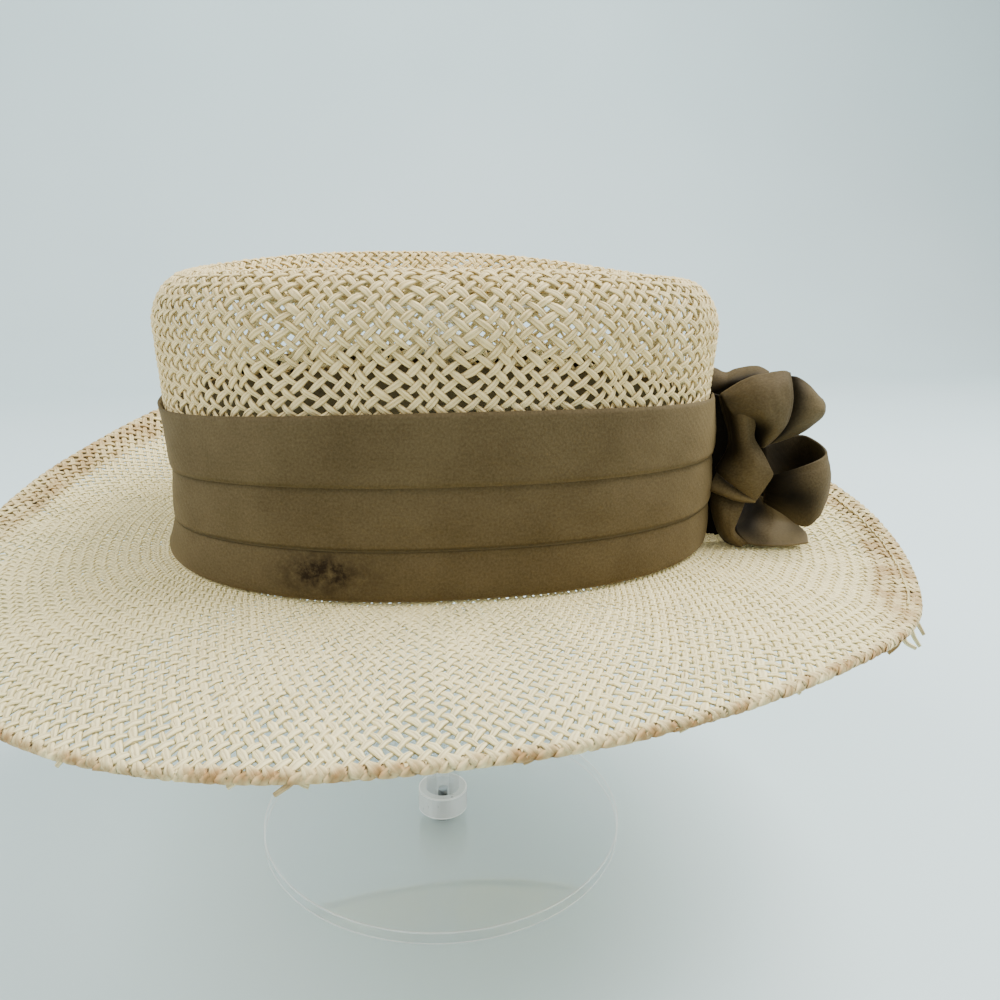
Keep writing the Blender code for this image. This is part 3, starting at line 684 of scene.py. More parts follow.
def edge_core(name, edge, radius):
    """Twisted cord inside the rolled edge: a tube whose radius swells twice around it and winds."""
    count, sides, twist = 1440, 8, 0.0011
    middle = closed_curve(edge, np.arange(count) / count)
    way = unit(np.roll(middle, -1, axis=0) - np.roll(middle, 1, axis=0))
    side = unit(np.cross(way, np.array((0.0, 0.0, 1.0))))
    up = np.cross(side, way)
    turn = 2 * math.pi * np.arange(sides) / sides
    gone = np.linalg.norm(np.diff(middle, axis=0, prepend=middle[:1]), axis=-1).cumsum()
    thick = radius * (1 + 0.2 * np.sin(2 * turn[None, :] + gone[:, None] / twist))
    points = (
        middle[:, None] + side[:, None] * (thick * np.cos(turn))[..., None]
        + up[:, None] * (thick * np.sin(turn))[..., None])
    index = np.arange(count * sides).reshape(count, sides)
    ahead, beside = np.roll(index, -1, axis=0), np.roll(index, -1, axis=1)
    faces = np.stack([index, ahead, np.roll(beside, -1, axis=0), beside], axis=-1).reshape(-1, 4)
    grain = np.stack(np.broadcast_arrays(gone[:, None], np.cos(turn)[None, :], 0.3), axis=-1)
    return build_mesh(name, points.reshape(-1, 3), [faces], [
        ("grain", "FLOAT_VECTOR", "vector", grain.reshape(-1, 3)),
        ("tan", "FLOAT", "value", np.full(count * sides, 0.35))])


def frayed_ends(name, edge):
    """Loose strands that start on the brim's edge, at its point nearest to their root's pixel.

    Each is a curve bent as its pixels are, in the plane through its root that faces the camera.
    """
    view = np.array(camera_matrix())
    local = (edge - view[:3, 3]) @ view[:3, :3]
    seen = HALF_FRAME + FOCAL_PIXELS * local[:, :2] * (-1, 1) / local[:, 2:]
    pixels = np.array(FRAYS, float)
    root = np.linalg.norm(seen[None] - pixels[:, :1], axis=-1).argmin(axis=1)
    eye, ray = sight_lines(pixels - pixels[:, :1] + seen[root][:, None])
    spot = eye - ray * (local[root, 2] / FOCAL_PIXELS)[:, None, None]
    spot[:, 0] = edge[root]
    count, steps = len(spot), 9
    flat = spot.swapaxes(0, 1).reshape(3, -1)
    centre = open_curve(flat, np.linspace(0, 1, steps)).reshape(steps, count, 3).swapaxes(0, 1)
    normal = np.broadcast_to(view[:3, 2], centre.shape)
    shape = (count, steps)
    width = FRAY_WIDTH * np.broadcast_to(1 - 0.3 * np.linspace(0, 1, steps), shape)
    tint = np.broadcast_to((np.arange(count) * 0.37 % 1)[:, None], shape)
    tan = np.broadcast_to(0.3 + 0.6 * (np.arange(count) % 3 == 0)[:, None], shape)
    return strand_mesh(
        name, centre, normal, width, 0.6 * width, ROUND_SECTION, np.ones(shape, bool), tint, tan)


def hem_thread(name, places, normals):
    """Sewing thread along the hem at the back, 4 to 9 mm inside the edge, with slow wander."""
    chance = np.random.default_rng(71)
    turn = np.linspace(0.90, 0.995, 120)[None, :]
    # The brim's rows lie 1.3 mm apart, and its edge is at row 66
    row = 60 + 40 * (0.99 - turn) + 0.25 * uneven(turn.shape, 8, chance)
    normal = unit(read_rings(normals, row, turn))
    height = 0.0009 + 0.0003 * np.sin(2 * math.pi * turn * 260)
    centre = read_rings(places, row, turn) + normal * height[..., None]
    width = np.full(turn.shape, THREAD_WIDTH)
    return strand_mesh(
        name, centre, normal, width, width, ROUND_SECTION, np.ones(turn.shape, bool),
        np.full(turn.shape, 0.9), np.full(turn.shape, 0.35))


def weave_top(name, sizes, width, seed):
    """Weave the crown's top on a square grid turned 45 degrees, down into its groove.

    A point's distance past the plateau's oval comes from its superellipse share, and there the
    height sinks by a quarter sine over the groove's width.
    """
    chance = np.random.default_rng(seed)
    lines = int(1.2 * (CROWN_LENGTH / 2 - GROOVE_INSET) / TOP_PITCH)
    place = (np.arange(2 * lines + 1) - lines) * TOP_PITCH
    along = (np.arange(4 * lines + 1) - 2 * lines) * TOP_PITCH / 2
    half_length = CROWN_LENGTH / 2 + CROWN_BULGE - PLATEAU_INSET
    half_width = CROWN_WIDTH / 2 + CROWN_BULGE - PLATEAU_INSET
    parts = []
    for turned, over in ((False, 1), (True, -1)):
        first = np.broadcast_to(along, (len(place), len(along)))
        second = np.broadcast_to(place[:, None], first.shape)
        second = second + 0.22 * TOP_PITCH * uneven(first.shape, 12, chance)
        u, v = (second, first) if turned else (first, second)
        across, deep = (u - v) / math.sqrt(2), (u + v) / math.sqrt(2)
        share = ((np.abs(across) / half_length) ** ROOT_SQUARENESS
                 + (np.abs(deep) / half_width) ** ROOT_SQUARENESS) ** (1 / ROOT_SQUARENESS)
        past = np.hypot(across, deep) * np.clip(1 - 1 / np.maximum(share, 1e-6), 0, None)
        groove = np.clip(past / GROOVE_WIDTH, 0, 1)
        level = PLATEAU_LEVEL - STRAW_WALL / 2 - GROOVE_SINK * np.sin(math.pi / 2 * groove)
        line = np.arange(len(place))[:, None] % 2 * math.pi
        phase = over * np.cos(math.pi * first / TOP_PITCH + line)
        level = level + sizes.wave * phase - TOP_TUCK * groove
        centre = np.stack([across, deep, level], axis=-1)
        normal = np.zeros(centre.shape)
        normal[..., 2] = 1
        wide = width * (1 + 0.1 * phase) * (1 + 0.14 * uneven(first.shape, 7, chance))
        tint = np.repeat(chance.random((len(place), 1)), first.shape[1], axis=1)
        tan = np.zeros(first.shape)
        keep = past < 0.9 * GROOVE_WIDTH
        parts.append(strand_mesh(
            f"{name}_{'across' if turned else 'along'}", centre, normal, wide,
            np.full(first.shape, sizes.thickness), ROUND_SECTION, keep, tint, tan))
    return parts


def place_piece(piece, surface, node_name):
    """Let a piece ride on the hat, stand for a solid, and take a material."""
    piece.data.materials.append(surface)
    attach(piece, "root")
    if node_name:
        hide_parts(node_name)


# Materials


def set_inputs(tree, item, inputs):
    """Set a node's inputs: a link from an output or a node's first output, or a plain value."""
    for name, value in inputs.items():
        if isinstance(value, bpy.types.Node):
            value = value.outputs[0]
        if isinstance(value, bpy.types.NodeSocket):
            tree.links.new(value, item.inputs[name])
        else:
            item.inputs[name].default_value = value


def add_node(tree, kind, inputs=(), stops=(), **settings):
    """Add a node with its settings, its inputs set or linked, and a ramp's stops."""
    item = tree.nodes.new("ShaderNode" + kind)
    for name, value in settings.items():
        setattr(item, name, value)
    set_inputs(tree, item, dict(inputs))
    for place, (share, colour) in enumerate(stops):
        if place > 1:
            item.color_ramp.elements.new(share)
        item.color_ramp.elements[place].position = share
        item.color_ramp.elements[place].color = colour
    return item


def new_material(name):
    """Return a material, its node tree and its Principled shader."""
    result = bpy.data.materials.new(name)
    result.use_nodes = True
    return result, result.node_tree, result.node_tree.nodes["Principled BSDF"]


def straw_material(name, light, warm, stained):
    """Twisted paper straw, flattened and woven: matt, with fine grooves along each strand.

    Each strand is two plies side by side with a groove between, and the groove is drawn darker as
    painted shade. The finer grooves are 0.15 mm apart on the real strand and are drawn at 0.3 mm so that
    they show. Strands differ slightly in tone, and the tan attribute mixes in the stained colour in
    patches, most on the brim's hem and roll.
    """
    result, tree, shader = new_material(name)
    grain = add_node(tree, "Attribute", attribute_name="grain")
    tan = add_node(tree, "Attribute", attribute_name="tan")
    split = add_node(tree, "SeparateXYZ", {"Vector": grain.outputs["Vector"]})
    # Fibres 9 mm long and a third of the half width wide, and a strip of noise for each strand
    place = add_node(tree, "VectorMath", {
        0: grain.outputs["Vector"], 1: (110.0, 3.0, 97.0)}, operation="MULTIPLY")
    fibre = add_node(tree, "TexNoise", {
        "Vector": place, "Scale": 1.0, "Detail": 3.0, "Roughness": 0.6})
    where = add_node(tree, "TexCoord")
    cloud = add_node(tree, "TexNoise", {
        "Vector": where.outputs["Object"], "Scale": 90.0, "Detail": 3.0, "Roughness": 0.65})
    # Two plies: the unsigned sine of the place across, which the fibres make uneven
    ply = add_node(tree, "Math", {
        0: split.outputs["Y"], 1: 2.7, 2: -0.9}, operation="MULTIPLY_ADD")
    ply = add_node(tree, "Math", {
        0: fibre.outputs["Fac"], 1: 1.8, 2: ply}, operation="MULTIPLY_ADD")
    ply = add_node(tree, "Math", {0: ply}, operation="SINE")
    ply = add_node(tree, "Math", {0: ply}, operation="ABSOLUTE")
    blend = add_node(tree, "Math", {
        0: split.outputs["Z"], 1: 0.13, 2: 0.02}, operation="MULTIPLY_ADD")
    blend = add_node(tree, "Math", {
        0: fibre.outputs["Fac"], 1: 0.55, 2: blend}, operation="MULTIPLY_ADD")
    # The ply term also darkens the groove between the two plies: painted shade
    blend = add_node(tree, "Math", {0: ply, 1: 0.26, 2: blend}, operation="MULTIPLY_ADD")
    tone = add_node(tree, "ValToRGB", {"Fac": blend}, [
        (0.2, linear("#A8946A")), (0.36, tuple(warm)), (0.54, tuple(light))])
    worn = add_node(tree, "Math", {
        0: cloud.outputs["Fac"], 1: 2.6, 2: -0.6}, operation="MULTIPLY_ADD", use_clamp=True)
    amount = add_node(tree, "Math", {
        0: tan.outputs["Fac"], 1: worn}, operation="MULTIPLY", use_clamp=True)
    colour = add_node(tree, "Mix", {
        "Factor": amount, 6: tone, 7: tuple(stained)}, data_type="RGBA")
    rough = add_node(tree, "Math", {
        0: fibre.outputs["Fac"], 1: 0.2, 2: 0.55}, operation="MULTIPLY_ADD")
    height = add_node(tree, "Math", {
        0: ply, 1: 0.7, 2: fibre.outputs["Fac"]}, operation="MULTIPLY_ADD")
    bump = add_node(tree, "Bump", {
        "Strength": 1.0, "Distance": 0.0005, "Height": height})
    set_inputs(tree, shader, {
        "Base Color": colour.outputs[2], "Roughness": rough, "Normal": bump,
        "IOR": 1.45, "Specular IOR Level": 0.4})
    return result


def twill_material(sizes, name, stained, sheen):
    """Fine polyester twill in olive brown: matt with a soft sheen where it turns away.

    The ribs are 0.4 mm apart on the real cloth, too fine to show here. They are drawn as a
    very low relief 2.4 mm apart, under a grain of threads of 0.8 mm. Wear mottles the cloth.
    The band's stain is a dark mark on its lowest pleat. Painted shade darkens the cloth inside its
    folds, and below 0 painted light brightens its open face.
    """
    result, tree, shader = new_material(name)
    cloth = add_node(tree, "UVMap", uv_map="cloth")
    rib = add_node(tree, "TexWave", {
        "Vector": cloth, "Scale": 182.6, "Distortion": 0.4, "Detail": 1.0},
        wave_type="BANDS", bands_direction="DIAGONAL")
    thread = add_node(tree, "TexNoise", {
        "Vector": cloth, "Scale": 1300.0, "Detail": 2.0, "Roughness": 0.7})
    where = add_node(tree, "TexCoord")
    cloud = add_node(tree, "TexNoise", {
        "Vector": where.outputs["Object"], "Scale": 38.0, "Detail": 4.0, "Roughness": 0.6})
    mix = add_node(tree, "Math", {
        0: cloud.outputs["Fac"], 1: 0.45, 2: -0.02}, operation="MULTIPLY_ADD")
    mix = add_node(tree, "Math", {
        0: thread.outputs["Fac"], 1: 0.6, 2: mix}, operation="MULTIPLY_ADD")
    tone = add_node(tree, "ValToRGB", {"Fac": mix}, [
        (0.3, tuple(sizes.shade)), (0.68, tuple(sizes.colour))])
    # Painted shading: above 0 it mixes in near black as painted shade, below 0 it mixes in pale olive as
    # painted light
    soil = add_node(tree, "Attribute", attribute_name="soil")
    dark = add_node(tree, "Math", {
        0: soil.outputs["Fac"], 1: 0.97}, operation="MULTIPLY", use_clamp=True)
    pale = add_node(tree, "Math", {
        0: soil.outputs["Fac"], 1: -1.0}, operation="MULTIPLY", use_clamp=True)
    layers = [(dark, linear("#0B0805")), (pale, linear("#B5A481"))]
    if stained:
        spot = add_node(tree, "Attribute", attribute_name="stain")
        patch = add_node(tree, "TexNoise", {
            "Vector": where.outputs["Object"], "Scale": 230.0, "Detail": 4.0, "Roughness": 0.7})
        mark = add_node(tree, "Math", {
            0: patch.outputs["Fac"], 1: 3.2, 2: -1.1}, operation="MULTIPLY_ADD", use_clamp=True)
        mark = add_node(tree, "Math", {
            0: mark, 1: spot.outputs["Fac"]}, operation="MULTIPLY", use_clamp=True)
        layers.insert(0, (mark, tuple(sizes.stain)))
    colour = tone.outputs["Color"]
    for amount, over in layers:
        colour = add_node(tree, "Mix", {
            "Factor": amount, 6: colour, 7: over}, data_type="RGBA").outputs[2]
    height = add_node(tree, "Math", {
        0: rib.outputs["Fac"], 1: 0.3, 2: thread.outputs["Fac"]}, operation="MULTIPLY_ADD")
    bump = add_node(tree, "Bump", {
        "Strength": 0.35, "Distance": 0.0002, "Height": height})
    set_inputs(tree, shader, {
        "Base Color": colour, "Normal": bump, "Roughness": 0.75, "Sheen Weight": sheen,
        "Sheen Roughness": 0.4, "Sheen Tint": linear("#CDB787"), "Specular IOR Level": 0.1})
    return result


def acrylic_material(name, solid, edge, painted_reflection):
    """Cast acrylic, laser cut and flame polished: clear, with a faint cool tint and a light haze.

    Along its cut rims, a line as wide as edge is made whiter and less clear, a painted highlight. The
    last argument is how far the whole piece is made whiter, rougher and less clear, a painted
    reflection. Light that falls through it passes almost unbent and undimmed.
    """
    low, high = (np.array(corner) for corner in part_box(solid))
    half = (high - low) / 2
    result, tree, shader = new_material(name)
    where = add_node(tree, "TexCoord")
    haze = add_node(tree, "TexNoise", {
        "Vector": where.outputs["Object"], "Scale": 60.0, "Detail": 5.0, "Roughness": 0.7})
    rough = add_node(tree, "Math", {
        0: haze.outputs["Fac"], 1: 0.05, 2: 0.3 * painted_reflection}, operation="MULTIPLY_ADD")
    tint = add_node(tree, "ValToRGB", {"Fac": haze.outputs["Fac"]}, [
        (0.3, linear("#F8FBFB")), (0.8, linear("#FFFFFF"))])
    place = add_node(tree, "VectorMath", {
        0: where.outputs["Object"], 1: tuple((low + high) / 2)}, operation="SUBTRACT")
    split = add_node(tree, "SeparateXYZ", {"Vector": place})
    # The rim is where a point is both near the outer radius and near the top or the underside; there the
    # acrylic is made less clear and denser so that its whiter base shows, a painted highlight line
    level = add_node(tree, "VectorMath", {
        0: place, 1: (1.0, 1.0, 0.0)}, operation="MULTIPLY")
    out = add_node(tree, "VectorMath", {0: level}, operation="LENGTH")
    outer = add_node(tree, "Math", {
        0: out.outputs["Value"], 1: float(half[0]) - edge}, operation="GREATER_THAN")
    tall = add_node(tree, "Math", {0: split.outputs["Z"]}, operation="ABSOLUTE")
    tall = add_node(tree, "Math", {
        0: tall, 1: float(half[2]) - edge}, operation="GREATER_THAN")
    rim = add_node(tree, "Math", {0: outer, 1: tall}, operation="MULTIPLY")
    clear = add_node(tree, "Math", {
        0: rim, 1: -0.8, 2: 1 - 0.7 * painted_reflection}, operation="MULTIPLY_ADD", use_clamp=True)
    dense = add_node(tree, "Math", {
        0: rim, 1: 0.45, 2: 0.22 + 0.5 * painted_reflection}, operation="MULTIPLY_ADD", use_clamp=True)
    ray = add_node(tree, "LightPath")
    onward = add_node(tree, "Math", {
        0: ray.outputs["Is Shadow Ray"], 1: ray.outputs["Is Diffuse Ray"]}, operation="MAXIMUM")
    passed = add_node(tree, "Math", {0: onward, 1: -0.75, 2: 1.0}, operation="MULTIPLY_ADD")
    alpha = add_node(tree, "Math", {0: dense, 1: passed}, operation="MULTIPLY")
    set_inputs(tree, shader, {
        "Roughness": rough, "Base Color": tint, "Transmission Weight": clear, "Alpha": alpha,
        "IOR": 1.49})
    return result


def screw_material():
    """Dark zinc-plated steel, turned: satin, with fine rings of lighter and duller metal."""
    result, tree, shader = new_material("dark_plated_steel")
    where = add_node(tree, "TexCoord")
    ring = add_node(tree, "TexWave", {
        "Vector": where.outputs["Object"], "Scale": 900.0, "Distortion": 1.0},
        wave_type="BANDS", bands_direction="Z")
    tone = add_node(tree, "ValToRGB", {"Fac": ring.outputs["Fac"]}, [
        (0.0, linear("#3A3A3C")), (1.0, linear("#6A6A6C"))])
    rough = add_node(tree, "Math", {
        0: ring.outputs["Fac"], 1: 0.15, 2: 0.3}, operation="MULTIPLY_ADD")
    set_inputs(tree, shader, {"Base Color": tone, "Roughness": rough, "Metallic": 1.0})
    return result


def backdrop_material(sizes):
    """Matt painted board, rolled: even, with a very faint mottle."""
    result, tree, shader = new_material("matt_board")
    where = add_node(tree, "TexCoord")
    mottle = add_node(tree, "TexNoise", {
        "Vector": where.outputs["Object"], "Scale": 3.0, "Detail": 2.0})
    base = tuple(sizes.floor)
    darker = tuple(0.96 * part for part in base[:3]) + (1.0,)
    tone = add_node(tree, "ValToRGB", {"Fac": mottle.outputs["Fac"]}, [
        (0.3, darker), (0.7, base)])
    set_inputs(tree, shader, {"Base Color": tone, "Roughness": 0.6})
    return result


# Cloth


def flat_places(grid, closed):
    """Lengths gone along both ways of a grid, with the closing column added."""
    full = np.concatenate([grid, grid[:, :1]], axis=1) if closed else grid
    down = np.linalg.norm(np.diff(full, axis=0, prepend=full[:1]), axis=-1).mean(axis=1).cumsum()
    over = np.linalg.norm(np.diff(full, axis=1, prepend=full[:, :1]), axis=-1).mean(axis=0).cumsum()
    return np.stack(np.broadcast_arrays(over[None, :], down[:, None]), axis=-1)


def sew_cloth(name, grid, closed, thickness, surface, node_name, **marks):
    """Make a grid of points into a piece of cloth, closed around its second way if asked.

    Each point's place on the cloth before it was folded, in metres, is kept as the cloth UV map, and
    each mark, such as its stain or its painted shading, as an attribute. The cloth gets its thickness
    half to each side. It gives the piece with its width and length.
    """
    flat = flat_places(grid, closed)
    rows, columns = grid.shape[:2]
    index = np.arange(rows * columns).reshape(rows, columns)
    following = np.roll(index, -1, axis=1) if closed else index[:, 1:]
    here = index if closed else index[:, :-1]
    faces = np.stack([here[:-1], following[:-1], following[1:], here[1:]], axis=-1)
    attributes = [(label, "FLOAT", "value", shares.reshape(-1)) for label, shares in marks.items()]
    piece = build_mesh(name, grid.reshape(-1, 3), [faces.reshape(-1, 4)], attributes)
    corner = np.stack([flat[:-1, :-1], flat[:-1, 1:], flat[1:, 1:], flat[1:, :-1]], axis=2)
    layer = piece.data.uv_layers.new(name="cloth")
    layer.data.foreach_set("uv", corner.astype(np.float32).ravel())
    solid = piece.modifiers.new("thickness", "SOLIDIFY")
    solid.thickness = thickness
    solid.offset = 0.0
    solid.use_even_offset = False
    place_piece(piece, surface, node_name)
    return piece, float(flat[-1, 0, 1]), float(flat[0, -1, 0])


def band_grid(sizes):
    """Fold the band: its pleat profile carried around the crown, with slow waves and creases.

    It also gives the painted shading: painted shade on each pleat right under the fold above it, where
    the fold's shadow falls.
    """
    count, rows, fine_rows = 400, 64, 400
    angle = even_angles(0, ROOT_SQUARENESS, count)
    profile = np.array(PLEATS)
    fine = open_curve(profile, np.linspace(0, 1, fine_rows))
    gone = np.hypot(
        np.diff(fine[:, 0]) * BAND_HEIGHT, np.diff(fine[:, 1]) * BAND_DEPTH).cumsum()
    gone = np.concatenate([[0], gone])
    place = np.interp(np.linspace(0, gone[-1], rows), gone, np.linspace(0, 1, fine_rows))
    height, out = open_curve(profile, place).T
    turn = angle / (2 * math.pi)
    wave = 0.004 * np.sin(2 * math.pi * (2 * turn + 0.15))
    wave = wave + 0.003 * np.sin(2 * math.pi * (5 * turn))
    inner = np.sin(math.pi * np.clip(height, 0, 1))[:, None]
    share = height[:, None] + wave[None, :] * inner
    high = BAND_HEIGHT - end_drop(angle, BAND_BACK_DROP, BAND_FRONT_DROP)[None, :]
    level = BAND_BOTTOM + high * np.clip(share, 0.0, 1.0)
    front = np.exp(-((np.mod(angle, 2 * math.pi) - math.pi) / 0.25) ** 2)[None, :]
    shallow = out[:, None] * (1 - 0.45 * front) + 0.3 * front
    chance = np.random.default_rng(21)
    crease = np.zeros((rows, count))
    for waves, slant, size in ((11, 3.0, 0.5), (17, -4.0, 0.35), (26, 6.0, 0.3), (41, -9.0, 0.2)):
        phase = chance.uniform(0, 6.28)
        rounds = waves * turn[None, :] + slant * height[:, None]
        crease += size * np.sin(2 * math.pi * rounds + phase)
    away = CLEARANCE + BAND_DEPTH * shallow + sizes.crease * 0.5 * crease * inner * out[:, None]
    across, along = oval(away, ROOT_SQUARENESS, angle[None, :])
    across = across + pinch(level, angle[None, :])
    # Painted shade: a dark line on each pleat just under the fold above it
    under = sum(np.exp(-((height - fold) / 0.007) ** 2) for fold in (0.287, 0.621))
    under = under * np.clip((0.93 - out) / 0.05, 0, 1)
    return np.stack([across, along, level], axis=-1), np.repeat(under[:, None], count, axis=1)


def rosette_frame():
    """Seat of the rosette on the band, and the level way towards the camera's side of it."""
    angle = math.radians(ROSETTE_TURN)
    across, along = oval(CLEARANCE + BAND_DEPTH, ROOT_SQUARENESS, angle)
    half_length = CROWN_LENGTH / 2 + CLEARANCE + BAND_DEPTH
    half_width = CROWN_WIDTH / 2 + CLEARANCE + BAND_DEPTH
    lean = Vector((
        (across / half_length) ** (ROOT_SQUARENESS - 1) / half_length,
        -(abs(along) / half_width) ** (ROOT_SQUARENESS - 1) / half_width,
        0.0,
    )).normalized()
    seat = Vector((across, along, BAND_BOTTOM)) + lean * CLEARANCE
    return np.array(seat), np.array((lean.y, -lean.x, 0.0))


def camera_matrix():
    """Place of the camera: turned, tipped and rolled to the photograph's view, carried around."""
    pitch, roll, yaw, turn = (
        math.radians(a) for a in (CAMERA_PITCH, CAMERA_ROLL, CAMERA_YAW, CAMERA_TURN))
    aim = Matrix.Rotation(yaw, 4, "Z") @ Matrix.Rotation(math.pi / 2 - pitch, 4, "X")
    level = Matrix.Translation(CAMERA_PLACE)
    return Matrix.Rotation(turn, 4, "Z") @ level @ aim @ Matrix.Rotation(roll, 4, "Z")


def sight_lines(pixels):
    """Camera's place, and the ways from it to pixels on a picture one focal length away."""
    view = np.array(camera_matrix())
    away = np.full(pixels.shape[:-1], -FOCAL_PIXELS)
    ray = np.stack([pixels[..., 0] - HALF_FRAME, HALF_FRAME - pixels[..., 1], away], axis=-1)
    return view[:3, 3], ray @ view[:3, :3].T


def seen_points(rows):
    """Points behind pixels of the photograph, each on the upright plane that its share sets.

    A plane stands square to the rosette's near direction, a share of its depth from its seat.
    """
    seat, near = rosette_frame()
    eye, ray = sight_lines(rows)
    reach = (rows[..., 2] * ROSETTE_DEPTH - (eye - seat) @ near) / (ray @ near)
    return eye + ray * reach[..., None]


def gathers(grid, pleats, size, start, end, seed):
    """Ripple a grid along its normals: pleats that run down it and fade from start to end."""
    chance = np.random.default_rng(seed)
    rows, columns = grid.shape[:2]
    normal = unit(np.cross(np.gradient(grid, axis=0), np.gradient(grid, axis=1)))
    down = np.linspace(0, 1, rows)[:, None]
    over = np.linspace(0, 1, columns)[None, :]
    ripple = np.zeros((rows, columns))
    for count, weight in ((pleats, 0.6), (2 * pleats + 1, 0.3), (3 * pleats + 2, 0.2)):
        phase = chance.uniform(0, 6.28)
        ripple += weight * np.sin(2 * math.pi * count * over + phase + 1.5 * down)
    strength = start + (end - start) * down
    return grid + normal * (size * strength * ripple)[..., None]


def fold_grid(rows, steps, across):
    """Smooth surface through rows of points: a Catmull-Rom curve along them and then across.

    Each point carries its painted shading as a fourth number.
    """
    rows = np.asarray(rows, float)
    net = np.concatenate([seen_points(rows), rows[..., 3:]], axis=-1)
    count, width = net.shape[:2]
    down = open_curve(net.reshape(count, -1), np.linspace(0, 1, steps)).reshape(steps, width, 4)
    over = down.swapaxes(0, 1).reshape(width, -1)
    grid = open_curve(over, np.linspace(0, 1, across)).reshape(across, steps, 4).swapaxes(0, 1)
    return grid[..., :3], grid[..., 3]


def inner_ribbon_grid():
    """Ribbon inside the crown: upright rings one wall and a gap inside it, with a slow wave."""
    angle = even_angles(0, ROOT_SQUARENESS, 300)
    rows = 14
    height = np.linspace(0.004, RIBBON_HEIGHT, rows)
    inset = np.full(rows, CROWN_BULGE + STRAW_WALL + 0.0007)
    rings = crown_rings(
        inset, ROOT_LEVEL + height, np.zeros(rows), np.ones(rows, bool), angle)
    rings[..., 2] += 0.0006 * np.sin(5 * angle + 0.4) * (height / RIBBON_HEIGHT)[:, None]
    return rings


# Operators


def dress_crown(centre, share):
    """Even light stain and full width everywhere, with nothing cut."""
    shape = centre.shape[:2]
    return np.broadcast_to(0.22, shape), np.ones(shape), np.ones(shape, bool)


def dress_brim(centre, share):
    """Tan, close hem at the far side and the back, and a spotted roll on the near side.

    The share runs from 0 behind the band to 0.82 at the edge and 1 at the hem's end. Where no
    hem shows, the strands are cut under the roll.
    """
    far = np.clip((centre[..., 1] + 0.01) / 0.05, 0, 1)
    far = np.maximum(far, np.clip((centre[..., 0] - 0.115) / 0.02, 0, 1))
    strip = np.clip((share - 0.63) / 0.05, 0, 1) * far
    under = np.clip((share - 0.88) / 0.02, 0, 1) * far
    roll = np.clip((share - 0.785) / 0.04, 0, 1) * (1 - far)
    keep = np.broadcast_to(share, far.shape) < 0.90 + 0.2 * far
    tan = 0.08 + 0.72 * strip + 0.95 * roll
    return tan, 1 + 0.1 * strip + 0.5 * under + 0.6 * roll, keep


def place_straw(pieces, surface):
    """Let straw pieces stand for the hood."""
    for piece in pieces:
        place_piece(piece, surface, "straw_hood")


def weave_both_ways(name, places, normals, sizes, seed, **weave):
    """Weave one family of strands that rises around the hat and one that falls."""
    return [
        weave_around(f"{name}_strands_rising", places, normals, sizes, 1, seed, **weave),
        weave_around(f"{name}_strands_falling", places, normals, sizes, -1, seed + 1, **weave)]


class HAT_OT_weave_crown(bpy.types.Operator):
    """Weave the crown: two families of strands around it and a square grid on its top."""
    bl_idname = "straw_hat.weave_crown"
    bl_label = "Weave the crown"

    def execute(self, context):
        sizes = context.scene.straw_weave
        # The crown takes the darker copies of the straw colours: painted shade
        surface = straw_material(
            "woven_paper_straw_crown", sizes.shaded_crown_light, sizes.shaded_crown_warm, sizes.stained)
        rings, normals, hidden = crown_surface()
        place_straw(weave_both_ways(
            "crown", rings - normals * STRAW_WALL / 2, normals, sizes, 11,
            count=sizes.crown_strands, section=ROUND_SECTION, width=sizes.crown_width,
            fill=0.84, leaf=0.16, slant=1.15, per_crossing=3, hidden_row=int(np.argmax(hidden)),
            bend=(-9, -9), dress=dress_crown), surface)
        place_straw(weave_top("crown_top", sizes, sizes.crown_width, 13), surface)
        return {"FINISHED"}


class HAT_OT_weave_brim(bpy.types.Operator):
    """Weave the brim with its rolled edge and the hem folded under it."""
    bl_idname = "straw_hat.weave_brim"
    bl_label = "Weave the brim"

    def execute(self, context):
        sizes = context.scene.straw_weave
        surface = straw_material(
            "woven_paper_straw_brim", sizes.light, sizes.warm, sizes.stained)
        places, normals, edge = brim_surface()
        place_straw(weave_both_ways(
            "brim", places, normals, sizes, 31,
            count=sizes.brim_strands, section=FLAT_SECTION, width=sizes.brim_width,
            fill=0.72, leaf=0.26, slant=0.78, per_crossing=2, hidden_row=len(places) - 1,
            bend=(65, 75), dress=dress_brim), surface)
        place_straw([edge_core("brim_edge_core", edge, EDGE_CORD_RADIUS)], surface)
        return {"FINISHED"}


class HAT_OT_fray_ends(bpy.types.Operator):
    """Pull frayed ends out of the brim's edge and run the hem's stitching along it."""
    bl_idname = "straw_hat.fray_ends"
    bl_label = "Fray the ends"

    def execute(self, context):
        sizes = context.scene.straw_weave
        surface = straw_material("loose_paper_straw", sizes.light, sizes.warm, sizes.stained)
        places, normals, edge = brim_surface()
        place_straw([
            frayed_ends("frayed_ends", edge), hem_thread("hem_thread", places, normals)], surface)
        return {"FINISHED"}


class HAT_OT_fold_band(bpy.types.Operator):
    """Fold the cloth band into three overlapping pleats around the crown."""
    bl_idname = "straw_hat.fold_band"
    bl_label = "Fold the band"

    def execute(self, context):
        sizes = context.scene.hat_cloth
        # The band's painted shading darkens each pleat under the fold above it
        grid, soil = band_grid(sizes)
        spot = np.array((-0.048, -0.0875, BAND_BOTTOM + 0.009))
        away = (grid - spot) / np.array((0.012, 0.02, 0.006))
        stain = np.exp(-(away ** 2).sum(axis=-1)) * 1.8
        surface = twill_material(sizes, "olive_twill_band", True, 0.26)
        piece, width, length = sew_cloth(
            "folded_band", grid, True, sizes.thickness, surface, "pleated_band",
            stain=stain, soil=soil)
        return {"FINISHED"}


